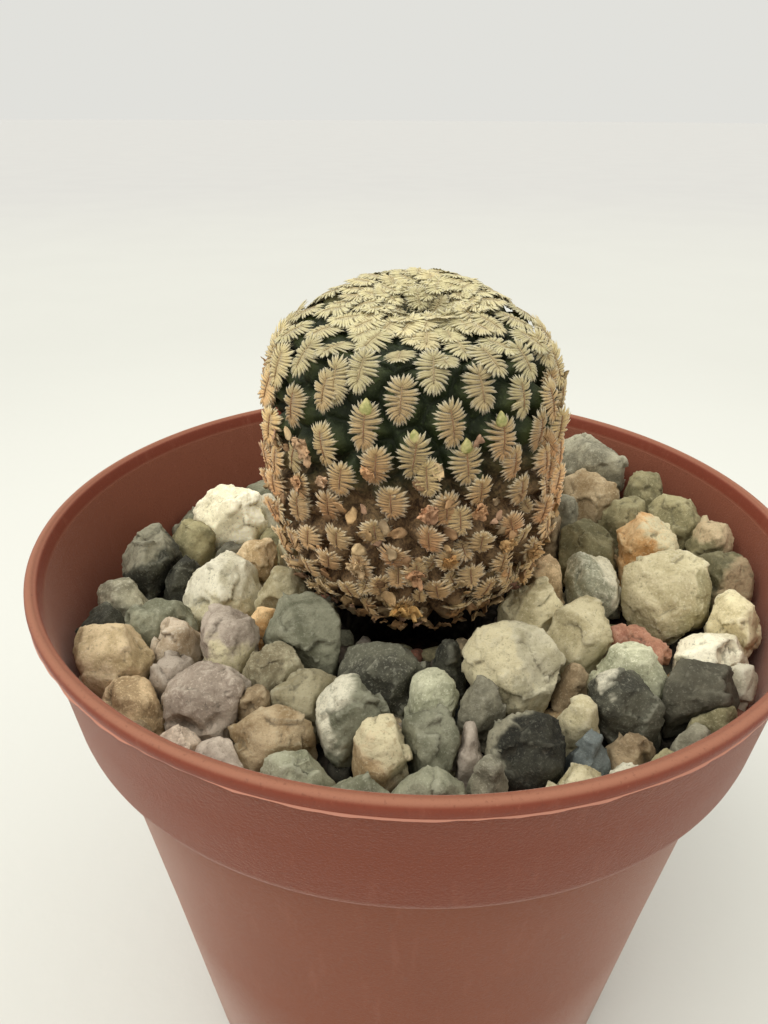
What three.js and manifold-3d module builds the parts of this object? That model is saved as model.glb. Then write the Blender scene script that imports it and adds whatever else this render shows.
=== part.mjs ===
// Potted Turbinicarpus pseudopectinatus: a small globular cactus with comb-shaped spine clusters,
// in a round plastic nursery pot top-dressed with loose crushed stone.
// Millimetres, +Z up. The pot stands on z = 0 with its axis at x = y = 0, and -Y is the front.

import * as THREE from 'three';
import Module from 'manifold-3d';

const wasm = await Module();
wasm.setup();

// Clearance between separate pieces that rest against each other.
const GAP = 0.3;

// Lengths too small to matter, for comparing points and for welding them.
const TINY = 1e-6;
const SLIVER = 1e-4;

// Pot.
const POT_HEIGHT = 48;
const POT_SIDES = 40;
const WALL = 0.8;
const RIM_RADIUS = 27.5;
const LIP_WIDTH = 0.8;
const LIP_FACE = 1.3;
const LIP_EDGE = 0.2;
const COLLAR_TOP_RADIUS = 26.95;
const COLLAR_FOOT_RADIUS = 25.96;
const COLLAR_HEIGHT = 9.4;
const COLLAR_STEP = 0.9;
const BODY_TOP_RADIUS = 24.6;
const BASE_RADIUS = 19.7;
const BASE_EDGE = 0.5;
const FLOOR = 2;
const FOOT_WIDTH = 2.4;
const FOOT_HEIGHT = 0.8;
const DRAIN_RADIUS = 2.4;
const DRAIN_CIRCLE = 11;
const DRAINS_ROUND = 4;
const DRAIN_SIDES = 12;

// Fill: potting soil, then a bed of small stone that rises towards the right and back.
const SOIL_TOP = 31;
const BED_TOP = POT_HEIGHT - 9.2;
const BED_SLOPE = 0.22;
const BED_SLOPE_START = 6;
const BED_SLOPE_TURN = 35;
const SUNK = 0.6;
const SEAT_EXTRA = 0.4;
const HOLE_SIDES = 20;
const HOLE_MOUTH = -5;

// Cactus: outline of the comb crests, as radius and height above the rim, from the woolly
// dimple at the apex down to the neck.
const CREST_OUTLINE = [
  [0, 16.4], [1.2, 16.5], [2.3, 16.9], [3.6, 17.1], [5.4, 16.75], [7.5, 15.45], [9.3, 13.45],
  [10.35, 10.45], [10.65, 6.45], [10.75, 2.45], [10.15, -1.55], [8.4, -4.55], [7.2, -6.3],
  [6.2, -7.2], [5.6, -7.8],
];
const AXIS_AT_RIM = [-0.28, 1.0];
const AXIS_LEAN = [-0.015, -0.02];

// The crown slopes down to the front and its middle lies lower: all of it up to the first
// distance from the apex and none of it past the second. Its front edge swells into a lip.
const CROWN_SLOPE = 0.3;
const CROWN_DROP = 1.35;
const CROWN_REACH = [4.4, 10.5];
const CROWN_LIP = 0.75;
const CROWN_LIP_RADIUS = 2.9;
const CROWN_LIP_SPREAD = 1.4;

// Areoles follow the golden angle, youngest at the apex, and each holds more skin as it ages.
const DIVERGENCE = 137.39;
const FIRST_AREOLE_ANGLE = 55;
const AREOLES = 244;
const GHOST_AREOLES = 50;
const FIRST_AREOLE_DISTANCE = 0.35;
const SKIN_PER_AREOLE = [
  [0, 2.4], [15, 5], [30, 7.6], [60, 7.6], [85, 8.2], [115, 6.4], [150, 5.8], [300, 5.3],
];
const COMB_HALF_HEIGHT = [[0, 0.7], [15, 1.3], [40, 2], [110, 2], [150, 1.6], [300, 1.4]];
const COMB_HALF_WIDTH = [[0, 0.6], [15, 1], [40, 1.4], [110, 1.4], [150, 1.2], [300, 1.05]];
const VALLEY_DEPTH = [[0, 0.5], [20, 1], [50, 1.6], [120, 1.5], [180, 1.2], [300, 1]];
const COMB_TEETH = [[30, 6], [124, 10], [190, 8], [AREOLES, 6]];
const TIP_DEPTH = 0.15;
const NOTCH_DEPTH = 0.85;
const NOTCH_REACH = 0.6;
const COMB_ROOM = 0.9;
const MIDRIB_SHARE = 0.55;
const VALLEY_WELD = 0.12;
const CREST_STEPS = 600;
const FRAME_REACH = 50;

// Taproot, as radius and height above the rim.
const ROOT_OUTLINE = [[5.3, -8.6], [4.9, -13], [3.6, -21], [1.2, -31]];

// Stones that lie free on the bed: colour, middle x and y, top above the rim, length, width
// and turn of the length about Z. Every stone reaches down to the bed.
const FREE_STONES = [
  ['white', -16.2, 8.7, -2.8, 7.1, 5.6, 15],
  ['slate', -21.3, 1.6, -3.2, 5.4, 4.9, 80],
  ['grey', -22.2, -3.2, -4.6, 3.7, 3.7, 0],
  ['slate', -22.4, -7.2, -4.2, 3.4, 3.6, 30],
  ['cream', -19.9, -11.6, -2.8, 6.4, 5.8, -35],
  ['white', -14.6, -2.2, -3.2, 6.9, 5.6, 10],
  ['slate', -18.6, 0.4, -4.6, 3.6, 3.6, 0],
  ['olive', -19.1, 5.4, -4, 3.8, 4, 0],
  ['grey', -15.7, 4.3, -5.6, 3.4, 2.9, 0],
  ['tan', -12.6, 2.2, -4, 4.1, 3.6, 10],
  ['cream', -9.8, -3.4, -3, 4.4, 4, 30],
  ['green', -18.3, -6.7, -4.4, 5.2, 4.3, 20],
  ['tan', -16.7, -9.3, -4, 4.4, 3.4, 25],
  ['mauve', -12.6, -9.6, -3, 4.3, 4.5, 60],
  ['mauve', -16, -11.9, -4.8, 4.4, 3.6, 15],
  ['brown', -9.3, -11.2, -4.2, 5, 4.5, -20],
  ['green', -7.7, -8.1, -2.8, 6.5, 5.4, -25],
  ['orange', -10.8, -6.4, -4.2, 2.9, 2.5, 30],
  ['slate', -2.1, -10.7, -4.5, 5.9, 5.2, -20],
  ['brown', -17.5, -15.3, -4.2, 4.5, 4, -30],
  ['mauve', -13.1, -14.4, -3.8, 6.3, 4.9, -8],
  ['cream', -6.8, -13.7, -4.2, 5.6, 3.8, 20],
  ['green', -3.9, -15.2, -3.8, 5.5, 4.9, -20],
  ['tan', -1.9, -18.5, -4.2, 4.1, 4, 60],
  ['mauve', -13.8, -18, -5.2, 3.4, 2.9, -30],
  ['mauve', -11.3, -19, -5, 3.7, 3.1, -25],
  ['tan', -8.5, -17.2, -4.4, 6.5, 3.8, 5],
  ['green', -6.7, -20.2, -4.8, 4.5, 3.6, -10],
  ['green', -3.2, -21.5, -5, 3.8, 3.4, -5],
  ['grey', 16, 15.5, 0.4, 7.4, 5.6, -30],
  ['tan', 15.6, 10.4, -1, 5.2, 4.5, -25],
  ['olive', 20.4, 10.8, -1.4, 4, 3.8, -50],
  ['olive', 18, 6.7, -2, 4.5, 3.8, -10],
  ['olive', 21.7, 6.2, -1.5, 5.2, 4.5, -60],
  ['olive', 23.6, 2.4, -1.6, 3.8, 3.4, 80],
  ['orange', 18.4, 1.8, -1.2, 5.8, 4.3, -60],
  ['cream', 19, -3, -1.6, 7.8, 6, -15],
  ['olive', 13.9, 2.7, -2, 5.6, 4.5, -10],
  ['olive', 23.2, -1.4, -2.4, 5.6, 4.5, 80],
  ['white', 13.9, -1.3, -2.9, 4.8, 3.8, -40],
  ['brown', 10, -0.6, -3.2, 3.6, 3.1, -30],
  ['cream', 9.1, -4.6, -3, 5.4, 4.5, -30],
  ['cream', 11.9, -7.2, -3.2, 5.3, 4.9, 0],
  ['white', 6.5, -10.3, -2.7, 7.4, 6.3, -15],
  ['red', 15.5, -7.6, -3.8, 6, 2.9, -18],
  ['green', 14.7, -10.8, -4.2, 6.5, 4.5, -12],
  ['cream', 22.6, -6, -3.2, 4.9, 3.8, 75],
  ['white', 20.3, -9, -4, 6.9, 4.3, 30],
  ['slate', 13.2, -13.9, -3.8, 4.9, 4.5, -35],
  ['grey', 18.1, -12.9, -3.6, 5.6, 4.9, 20],
  ['green', 1.4, -12.9, -4.2, 3.6, 3.6, 70],
  ['grey', 4.3, -13.9, -4.6, 3.6, 3.1, 80],
  ['green', 1.2, -17.4, -4.2, 3.8, 4.3, 70],
  ['slate', 6.3, -17.5, -4, 5.6, 5.2, 15],
  ['cream', 9.2, -20.7, -4.8, 3.8, 2.9, 20],
  ['green', 1.1, -20.9, -5, 4, 2.9, 0],
];

// Smaller visible stones, which are part of the bed.
const BEDDED_STONES = [
  [12.3, 11.4, -1, 2.2, 2],
  [12.6, 7.2, -1.8, 2.6, 2.6],
  [11.3, 3.9, -2.2, 2.3, 2.2],
  [10.4, -15, -4.6, 2.7, 2.4],
  [10.4, -17.7, -5, 2.5, 2.4],
  [12.9, -17.2, -5.2, 2.7, 2.4],
  [14.6, -18.9, -5, 2.8, 2.2],
  [12, -20.1, -5, 2.9, 2.3],
  [16.8, -16.9, -5, 2.6, 2.2],
  [18.6, -15, -4.6, 2.8, 2.4],
  [21.3, -11.4, -4.7, 2.4, 2.2],
  [10.6, -11.3, -5, 2.4, 2.2],
  [3.4, -17.6, -4.8, 2.1, 2.3],
  [4.2, -20.6, -4.2, 2.3, 2.2],
  [2.6, -9.1, -5, 2, 2.2],
  [-9.9, -14.9, -4.7, 2.5, 2.3],
  [-10.4, 3.6, -4.1, 2.2, 2.2],
  [-16.6, -17.6, -5.2, 2, 2.2],
];

// Bedded stones behind the plant, laid in rings: radius, number and stone size.
const BACK_RINGS = [[13.6, 6, 4.4], [18.2, 8, 4.9], [22.9, 11, 4.6]];
const BACK_FROM = 48;
const BACK_TO = 158;
const BACK_RISE = 3.2;
const BACK_RISE_SPREAD = 1.2;
const BACK_SHIFT = 0.8;
const BACK_STEP = [0.3, 0.7];
const BACK_LENGTH = [0.9, 1.2];
const BACK_WIDTH = [0.8, 1];
const CROWDING = 0.62;
const STONE_SEED = 7;

// Facets that break a stone's block: how far they turn aside and how deep they cut.
const FACET_JITTER = 0.45;
const FACET_SHARE = [0.86, 1.02];
const FACET_SEED = 40;
const WALL_STEPS = [-18, -9, 0, 9, 18];
const PLANT_DROOP = 30;
const STONE_WELD = 0.03;

const COLOURS = {
  pot: 0x8c5a48, soil: 0x3a2c22, cactus: 0x9c8a60, bed: 0x6e6a60,
  white: 0xd8d6c8, cream: 0xcfc7a2, tan: 0xb9a47c, brown: 0x8a765c, olive: 0x8c8a6a,
  green: 0x75806c, grey: 0x8f9088, slate: 0x4a4e4c, mauve: 0x94867e, orange: 0xc39458, red: 0xa06a50,
};

// Small helpers.

function random(seed) {
  let state = seed >>> 0;
  return () => {
    state = (state + 0x6d2b79f5) >>> 0;
    let t = state;
    t = Math.imul(t ^ (t >>> 15), t | 1);
    t ^= t + Math.imul(t ^ (t >>> 7), t | 61);
    return ((t ^ (t >>> 14)) >>> 0) / 4294967296;
  };
}

function along(table, at) {
  const next = table.findIndex(([key]) => key > at);
  if (next < 0) return table[table.length - 1][1];
  if (next === 0) return table[0][1];
  const [a, from] = table[next - 1];
  const [b, to] = table[next];
  return THREE.MathUtils.mapLinear(at, a, b, from, to);
}

function radians(degrees) {
  return THREE.MathUtils.degToRad(degrees);
}

// A closed surface from points and triangles, welding points closer than a tolerance.
function closedSurface(points, triangles, tolerance) {
  const kept = [];
  const renamed = points.map((p) => {
    let found = kept.findIndex((q) => q.distanceTo(p) < tolerance);
    if (found < 0) found = kept.push(p) - 1;
    return found;
  });
  const index = [];
  for (const triangle of triangles) {
    const [a, b, c] = triangle.map((i) => renamed[i]);
    if (a !== b && b !== c && c !== a) index.push(a, b, c);
  }
  const geometry = new THREE.BufferGeometry().setFromPoints(kept);
  geometry.setIndex(index);
  return geometry;
}

function weld(source) {
  const position = source.getAttribute('position');
  const points = [];
  for (let i = 0; i < position.count; i += 1) {
    points.push(new THREE.Vector3().fromBufferAttribute(position, i));
  }
  const order = source.index ? [...source.index.array] : points.map((_, i) => i);
  const triangles = [];
  for (let i = 0; i < order.length; i += 3) triangles.push(order.slice(i, i + 3));
  return closedSurface(points, triangles, SLIVER);
}

function toSolid(geometry) {
  return new wasm.Manifold(new wasm.Mesh({
    numProp: 3,
    vertProperties: new Float32Array(geometry.getAttribute('position').array),
    triVerts: new Uint32Array(geometry.index.array),
  }));
}

function toGeometry(solid) {
  const mesh = solid.getMesh();
  const geometry = new THREE.BufferGeometry();
  geometry.setAttribute('position', new THREE.BufferAttribute(mesh.vertProperties, 3));
  geometry.setIndex(new THREE.BufferAttribute(mesh.triVerts, 1));
  return geometry;
}

// A turned solid about Z. The outline runs from the axis at the bottom, out, up and back in.
function turned(outline, sides = POT_SIDES) {
  const points = outline.map(([r, z]) => new THREE.Vector2(r, z));
  const lathe = new THREE.LatheGeometry(points, sides);
  return weld(lathe.rotateX(Math.PI / 2));
}

function standingCylinder(radius, bottom, top, sides) {
  const cylinder = new THREE.CylinderGeometry(radius, radius, top - bottom, sides);
  return weld(cylinder.rotateX(Math.PI / 2).translate(0, 0, (bottom + top) / 2));
}

// Pot.

const COLLAR_FOOT = POT_HEIGHT - COLLAR_HEIGHT;

function bodyRadius(z) {
  const top = COLLAR_FOOT - COLLAR_STEP;
  return THREE.MathUtils.mapLinear(z, BASE_EDGE, top, BASE_RADIUS, BODY_TOP_RADIUS);
}

// The lip stands out from the collar, with a flat top and broken edges.
function lip() {
  const foot = POT_HEIGHT - LIP_FACE;
  return [
    [RIM_RADIUS - LIP_EDGE, foot + LIP_EDGE],
    [RIM_RADIUS, foot + 2 * LIP_EDGE],
    [RIM_RADIUS, POT_HEIGHT - LIP_EDGE],
    [RIM_RADIUS - LIP_EDGE, POT_HEIGHT],
    [RIM_RADIUS - LIP_WIDTH, POT_HEIGHT],
    [COLLAR_TOP_RADIUS - WALL, foot],
  ];
}

function pot() {
  const outside = [
    [0, FOOT_HEIGHT],
    [BASE_RADIUS - FOOT_WIDTH, FOOT_HEIGHT],
    [BASE_RADIUS - FOOT_WIDTH, 0],
    [BASE_RADIUS - BASE_EDGE, 0],
    [BASE_RADIUS, BASE_EDGE],
    [BODY_TOP_RADIUS, COLLAR_FOOT - COLLAR_STEP],
    [COLLAR_FOOT_RADIUS, COLLAR_FOOT],
    [COLLAR_TOP_RADIUS, POT_HEIGHT - LIP_FACE],
  ];
  const inside = [
    [COLLAR_FOOT_RADIUS - WALL, COLLAR_FOOT - COLLAR_STEP / 2],
    [bodyRadius(COLLAR_FOOT - 2 * COLLAR_STEP) - WALL, COLLAR_FOOT - 2 * COLLAR_STEP],
    [bodyRadius(FLOOR) - WALL, FLOOR],
    [0, FLOOR],
  ];
  let solid = toSolid(turned([...outside, ...lip(), ...inside]));
  const drain = toSolid(standingCylinder(DRAIN_RADIUS, -FLOOR, 2 * FLOOR, DRAIN_SIDES));
  solid = solid.subtract(drain);
  for (let i = 0; i < DRAINS_ROUND; i += 1) {
    const angle = (i + 0.5) * 2 * Math.PI / DRAINS_ROUND;
    const place = [DRAIN_CIRCLE * Math.cos(angle), DRAIN_CIRCLE * Math.sin(angle), 0];
    solid = solid.subtract(drain.translate(place));
  }
  return toGeometry(solid);
}

// Cactus surface. A point is named by the distance down the crest outline from the apex, the
// angle about the axis and a depth below the crests.

function axisAt(z) {
  const rise = z - POT_HEIGHT;
  return AXIS_AT_RIM.map((start, i) => start + AXIS_LEAN[i] * rise);
}

const crest = new THREE.SplineCurve(CREST_OUTLINE.map(([r, z]) => new THREE.Vector2(r, z)));
const CREST_LENGTH = crest.getLength();

// The map ln(rho) = integral of ds / r keeps angles, so cells drawn on it keep their shape.
function crestTable() {
  const rows = [];
  let logRho = 0;
  for (let i = 0; i <= CREST_STEPS; i += 1) {
    const s = (i + 0.5) * CREST_LENGTH / (CREST_STEPS + 1);
    const radius = crest.getPointAt(s / CREST_LENGTH).x;
    rows.push({ s, radius, logRho });
    logRho += CREST_LENGTH / (CREST_STEPS + 1) / radius;
  }
  return rows;
}

const CREST_TABLE = crestTable();

function rowBefore(key, value) {
  let low = 0;
  let high = CREST_TABLE.length - 2;
  while (low < high) {
    const middle = Math.ceil((low + high) / 2);
    if (CREST_TABLE[middle][key] <= value) low = middle;
    else high = middle - 1;
  }
  return low;
}

function convert(from, to, value) {
  const a = CREST_TABLE[rowBefore(from, value)];
  const b = CREST_TABLE[rowBefore(from, value) + 1];
  return THREE.MathUtils.mapLinear(value, a[from], b[from], a[to], b[to]);
}

function skinPoint(s, angle, depth) {
  const u = THREE.MathUtils.clamp(s / CREST_LENGTH, 0, 1);
  const at = crest.getPointAt(u);
  const slope = crest.getTangentAt(u);
  const radius = at.x + slope.y * depth;
  const z = POT_HEIGHT + at.y - slope.x * depth;
  const [x, y] = axisAt(z);
  const share = 1 - THREE.MathUtils.smoothstep(s, ...CROWN_REACH);
  const tilt = share * (CROWN_SLOPE * radius * Math.sin(angle) - CROWN_DROP);
  const front = CROWN_LIP * (1 - Math.sin(angle)) / 2;
  const lift = front * Math.exp(-(((radius - CROWN_LIP_RADIUS) / CROWN_LIP_SPREAD) ** 2));
  return new THREE.Vector3(
    x + radius * Math.cos(angle), y + radius * Math.sin(angle), z + tilt + lift,
  );
}

// Areoles from the apex down. Each is a point of the flat map, with its age as an index.
function areoles() {
  const list = [];
  let s = FIRST_AREOLE_DISTANCE;
  for (let age = 0; age < AREOLES + GHOST_AREOLES; age += 1) {
    const angle = radians(FIRST_AREOLE_ANGLE + DIVERGENCE * age);
    const inside = Math.min(s, CREST_LENGTH * 0.999);
    const radius = convert('s', 'radius', inside);
    const logRho = convert('s', 'logRho', s);
    list.push({ age, angle, s, radius, logRho, ...flatPoint(logRho, angle) });
    s += along(SKIN_PER_AREOLE, age) / (2 * Math.PI * radius);
  }
  return list;
}

function flatPoint(logRho, angle) {
  const rho = Math.exp(logRho);
  return { u: rho * Math.cos(angle), v: rho * Math.sin(angle) };
}

function circumcircle(a, b, c) {
  const bx = b.u - a.u;
  const by = b.v - a.v;
  const cx = c.u - a.u;
  const cy = c.v - a.v;
  const twice = 2 * (bx * cy - by * cx);
  const bb = bx * bx + by * by;
  const cc = cx * cx + cy * cy;
  const x = (cy * bb - by * cc) / twice;
  const y = (bx * cc - cx * bb) / twice;
  return { u: a.u + x, v: a.v + y, squared: x * x + y * y };
}

// Delaunay triangles of the areoles, each an ordered triple with its circumcircle.
function delaunay(sites) {
  const reach = FRAME_REACH * Math.exp(sites[sites.length - 1].logRho);
  const frame = [-90, 30, 150].map((degrees) => ({
    u: reach * Math.cos(radians(degrees)),
    v: reach * Math.sin(radians(degrees)),
  }));
  const points = [...sites, ...frame];
  const triangle = (a, b, c) => ({ ids: [a, b, c], ...circumcircle(points[a], points[b], points[c]) });
  let mesh = [triangle(sites.length, sites.length + 1, sites.length + 2)];
  sites.forEach((site, id) => {
    const hit = mesh.filter((t) => (t.u - site.u) ** 2 + (t.v - site.v) ** 2 < t.squared);
    const edges = hit.flatMap(({ ids: [a, b, c] }) => [[a, b], [b, c], [c, a]]);
    const outer = edges.filter(([a, b]) => !edges.some(([c, d]) => a === d && b === c));
    mesh = mesh.filter((t) => !hit.includes(t));
    outer.forEach(([a, b]) => mesh.push(triangle(a, b, id)));
  });
  return mesh.filter((t) => t.ids.every((id) => id < sites.length));
}

// The valley between tubercles is a net of corners, the centres of the Delaunay circles.
function valleyNet(sites) {
  const corners = [];
  const cells = sites.map(() => []);
  for (const t of delaunay(sites)) {
    const logRho = Math.log(Math.hypot(t.u, t.v));
    const angle = Math.atan2(t.v, t.u);
    const s = convert('logRho', 's', logRho);
    const age = t.ids.reduce((sum, id) => sum + id, 0) / 3;
    const point = skinPoint(s, angle, along(VALLEY_DEPTH, age));
    let corner = corners.findIndex((c) => c.point.distanceTo(point) < VALLEY_WELD);
    if (corner < 0) corner = corners.push({ point, u: t.u, v: t.v, angle }) - 1;
    t.ids.forEach((id) => {
      if (!cells[id].includes(corner)) cells[id].push(corner);
    });
  }
  cells.forEach((cell, id) => {
    const turn = (c) => Math.atan2(corners[c].v - sites[id].v, corners[c].u - sites[id].u);
    cell.sort((a, b) => turn(a) - turn(b));
  });
  return { corners, cells };
}

// How far from the areole, as a share of the way to the point, its cell's border lies.
function shareToBorder(site, point, border) {
  const du = point.u - site.u;
  const dv = point.v - site.v;
  let share = Infinity;
  border.forEach((a, i) => {
    const b = border[(i + 1) % border.length];
    const normalU = b.v - a.v;
    const normalV = a.u - b.u;
    const speed = du * normalU + dv * normalV;
    if (speed > 0) {
      const distance = (a.u - site.u) * normalU + (a.v - site.v) * normalV;
      share = Math.min(share, distance / speed);
    }
  });
  return share;
}

// Depth of a point of the toothed outline, as a share of the valley's depth.
function depthAt(i) {
  return i % 2 === 0 ? TIP_DEPTH : NOTCH_DEPTH;
}

// One comb of flattened spines, as a toothed outline inside its cell round a raised midrib.
function combOutline(site, border) {
  const teeth = COMB_TEETH.find(([age]) => site.age < age)[1];
  const depth = along(VALLEY_DEPTH, site.age);
  const outline = [];
  for (let i = 0; i < 2 * teeth; i += 1) {
    const turn = Math.PI * i / teeth;
    const reach = i % 2 === 0 ? 1 : NOTCH_REACH;
    const down = reach * along(COMB_HALF_HEIGHT, site.age) * Math.cos(turn);
    const across = reach * along(COMB_HALF_WIDTH, site.age) * Math.sin(turn);
    const full = flatPoint(site.logRho + down / site.radius, site.angle + across / site.radius);
    const share = Math.min(1, COMB_ROOM * reach * shareToBorder(site, full, border));
    const u = site.u + (full.u - site.u) * share;
    const v = site.v + (full.v - site.v) * share;
    const s = convert('logRho', 's', Math.log(Math.hypot(u, v)));
    const point = skinPoint(s, Math.atan2(v, u), depth * depthAt(i));
    outline.push({ u, v, point });
  }
  return outline;
}

function midrib(site, end) {
  const share = MIDRIB_SHARE * end * along(COMB_HALF_HEIGHT, site.age);
  return skinPoint(Math.max(site.s + share, site.s * 0.5), site.angle, 0);
}

// Taproot rings below the lowest valley corners, closed at the tip.
function addRoot(points, triangles, rim) {
  let ring = rim;
  for (const [radius, rise] of ROOT_OUTLINE) {
    const z = POT_HEIGHT + rise;
    const [x, y] = axisAt(z);
    const next = rim.map((id) => {
      const [fromX, fromY] = axisAt(points[id].z);
      const angle = Math.atan2(points[id].y - fromY, points[id].x - fromX);
      const px = x + radius * Math.cos(angle);
      const py = y + radius * Math.sin(angle);
      return points.push(new THREE.Vector3(px, py, z)) - 1;
    });
    ring.forEach((a, i) => {
      const j = (i + 1) % ring.length;
      triangles.push([a, next[i], next[j]], [a, next[j], ring[j]]);
    });
    ring = next;
  }
  const [tipX, tipY] = axisAt(points[ring[0]].z);
  const tip = points.push(new THREE.Vector3(tipX, tipY, points[ring[0]].z - 1)) - 1;
  ring.forEach((a, i) => triangles.push([a, tip, ring[(i + 1) % ring.length]]));
}

function turnOf(a, b, c) {
  return b.clone().sub(a).cross(c.clone().sub(a));
}

function facingOut(face, places) {
  const [a, b, c] = face;
  return turnOf(places[a], places[b], places[c]) > 0 ? [a, b, c] : [a, c, b];
}

// Turns shared edges of a comb's skirt wherever that lets the skin between two teeth lie deeper.
function deepen(faces, places, depths) {
  let turned = true;
  while (turned) {
    turned = false;
    for (const face of faces) {
      for (let i = 0; i < 3 && !turned; i += 1) {
        const [a, b, c] = [face[i], face[(i + 1) % 3], face[(i + 2) % 3]];
        const other = faces.find((f) => f !== face && f.includes(a) && f.includes(b));
        if (!other) continue;
        const d = other.find((id) => id !== a && id !== b);
        const deeper = depths[c] + depths[d] > depths[a] + depths[b] + TINY;
        const room = Math.min(
          turnOf(places[c], places[a], places[d]),
          turnOf(places[c], places[d], places[b]),
        );
        if (deeper && room > SLIVER) {
          face.splice(0, 3, c, a, d);
          other.splice(0, 3, c, d, b);
          turned = true;
        }
      }
      if (turned) break;
    }
  }
}

// Skin of one cell: a skirt from its border to the comb, and the comb's fan round the midrib.
function addCell(site, cell, corners, points, triangles) {
  const border = cell.map((c) => corners[c]);
  const outline = combOutline(site, border);
  const first = points.length;
  outline.forEach((o) => points.push(o.point));
  const upper = points.push(midrib(site, -1)) - 1;
  const lower = points.push(midrib(site, 1)) - 1;
  addSkirt(site, border, outline, [...cell, ...outline.map((_, i) => first + i)], triangles);
  const half = outline.length / 4;
  outline.forEach((_, i) => {
    const next = (i + 1) % outline.length;
    const top = i >= half && i < 3 * half;
    triangles.push([first + i, first + next, top ? upper : lower]);
  });
  triangles.push([first + half, upper, lower], [first + 3 * half, lower, upper]);
}

function addSkirt(site, border, outline, ids, triangles) {
  const size = Math.hypot(border[0].u - site.u, border[0].v - site.v);
  const flat = (p) => new THREE.Vector2((p.u - site.u) / size, (p.v - site.v) / size);
  const places = [...border, ...outline].map(flat);
  const skirt = THREE.ShapeUtils.triangulateShape(border.map(flat), [outline.map(flat)]);
  const faces = skirt.map((face) => facingOut(face, places));
  deepen(faces, places, [...border.map(() => 1), ...outline.map((_, i) => depthAt(i))]);
  faces.forEach((face) => triangles.push(face.map((i) => ids[i])));
}

function cactus() {
  const sites = areoles();
  const { corners, cells } = valleyNet(sites);
  const points = corners.map((c) => c.point);
  const triangles = [];
  const sides = new Set();
  for (const site of sites.slice(0, AREOLES)) {
    const cell = cells[site.age];
    addCell(site, cell, corners, points, triangles);
    cell.forEach((a, i) => sides.add(`${a} ${cell[(i + 1) % cell.length]}`));
  }
  addRoot(points, triangles, openRim(sides, corners));
  return closedSurface(points, triangles, TINY);
}

// The loop of cell sides that have no neighbour, in order round the axis.
function openRim(sides, corners) {
  const following = new Map();
  for (const side of sides) {
    const [a, b] = side.split(' ').map(Number);
    if (!sides.has(`${b} ${a}`)) following.set(a, b);
  }
  const start = [...following.keys()].sort((a, b) => corners[a].angle - corners[b].angle)[0];
  const loop = [start];
  for (let next = following.get(start); next !== start; next = following.get(next)) loop.push(next);
  return loop;
}

// Stones. Each is a convex block cut by planes; a plane keeps what lies behind its normal.

function bedPlanes() {
  const turn = radians(BED_SLOPE_TURN);
  const slope = new THREE.Vector3(-BED_SLOPE * Math.cos(turn), -BED_SLOPE * Math.sin(turn), 1);
  const height = BED_TOP - BED_SLOPE * BED_SLOPE_START;
  return [
    { normal: new THREE.Vector3(0, 0, 1), offset: BED_TOP },
    { normal: slope.clone().normalize(), offset: height / slope.length() },
  ];
}

function bedHeight(x, y) {
  const heights = bedPlanes().map(({ normal, offset }) => {
    return (offset - normal.x * x - normal.y * y) / normal.z;
  });
  return Math.max(...heights);
}

function seatPlanes() {
  return bedPlanes().map(({ normal, offset }) => {
    return { normal: normal.clone().negate(), offset: -offset - GAP };
  });
}

function wallPlanes(stone) {
  const azimuth = Math.atan2(stone.middle.y, stone.middle.x);
  const lean = (COLLAR_TOP_RADIUS - COLLAR_FOOT_RADIUS) / (COLLAR_HEIGHT - LIP_FACE);
  const room = (COLLAR_FOOT_RADIUS - WALL) * Math.cos(Math.PI / POT_SIDES) - GAP;
  return WALL_STEPS.map((step) => {
    const angle = azimuth + radians(step);
    const normal = new THREE.Vector3(Math.cos(angle), Math.sin(angle), -lean);
    return {
      normal: normal.clone().normalize(),
      offset: (room - lean * COLLAR_FOOT) / normal.length(),
    };
  });
}

// The plane that touches the underside of the plant on the stone's side.
function plantPlane(stone) {
  const [x, y] = axisAt(stone.middle.z);
  const angle = Math.atan2(stone.middle.y - y, stone.middle.x - x);
  const droop = radians(PLANT_DROOP);
  const normal = new THREE.Vector3(
    Math.cos(angle) * Math.cos(droop),
    Math.sin(angle) * Math.cos(droop),
    -Math.sin(droop),
  );
  const reach = Math.max(...CREST_OUTLINE.map(([radius, rise]) => {
    const [cx, cy] = axisAt(POT_HEIGHT + rise);
    const px = cx + radius * Math.cos(angle);
    const py = cy + radius * Math.sin(angle);
    return normal.dot(new THREE.Vector3(px, py, POT_HEIGHT + rise));
  }));
  return { normal: normal.negate(), offset: -reach - GAP };
}

function makeStone(x, y, rise, length, width, turn, bedded) {
  const top = POT_HEIGHT + rise;
  const bottom = bedHeight(x, y) - (bedded ? SUNK : SEAT_EXTRA);
  const middle = new THREE.Vector3(x, y, (top + bottom) / 2);
  const size = new THREE.Vector3(length / 2, width / 2, (top - bottom) / 2);
  return { middle, size, turn: radians(turn), bedded };
}

// How far a stone's ellipsoid reaches from its middle in a direction.
function reachOf(stone, direction) {
  const local = direction.clone().applyAxisAngle(new THREE.Vector3(0, 0, 1), -stone.turn);
  return local.multiply(stone.size).length();
}

// The plane that parts two neighbours, in proportion to how far each reaches towards the other.
function partingPlane(stone, other) {
  const normal = other.middle.clone().sub(stone.middle);
  const distance = normal.length();
  normal.normalize();
  const own = reachOf(stone, normal);
  const theirs = reachOf(other, normal);
  if (distance > 2 * (own + theirs)) return null;
  const share = distance * own / (own + theirs) - GAP / 2;
  return { normal, offset: normal.dot(stone.middle) + share };
}

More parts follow.
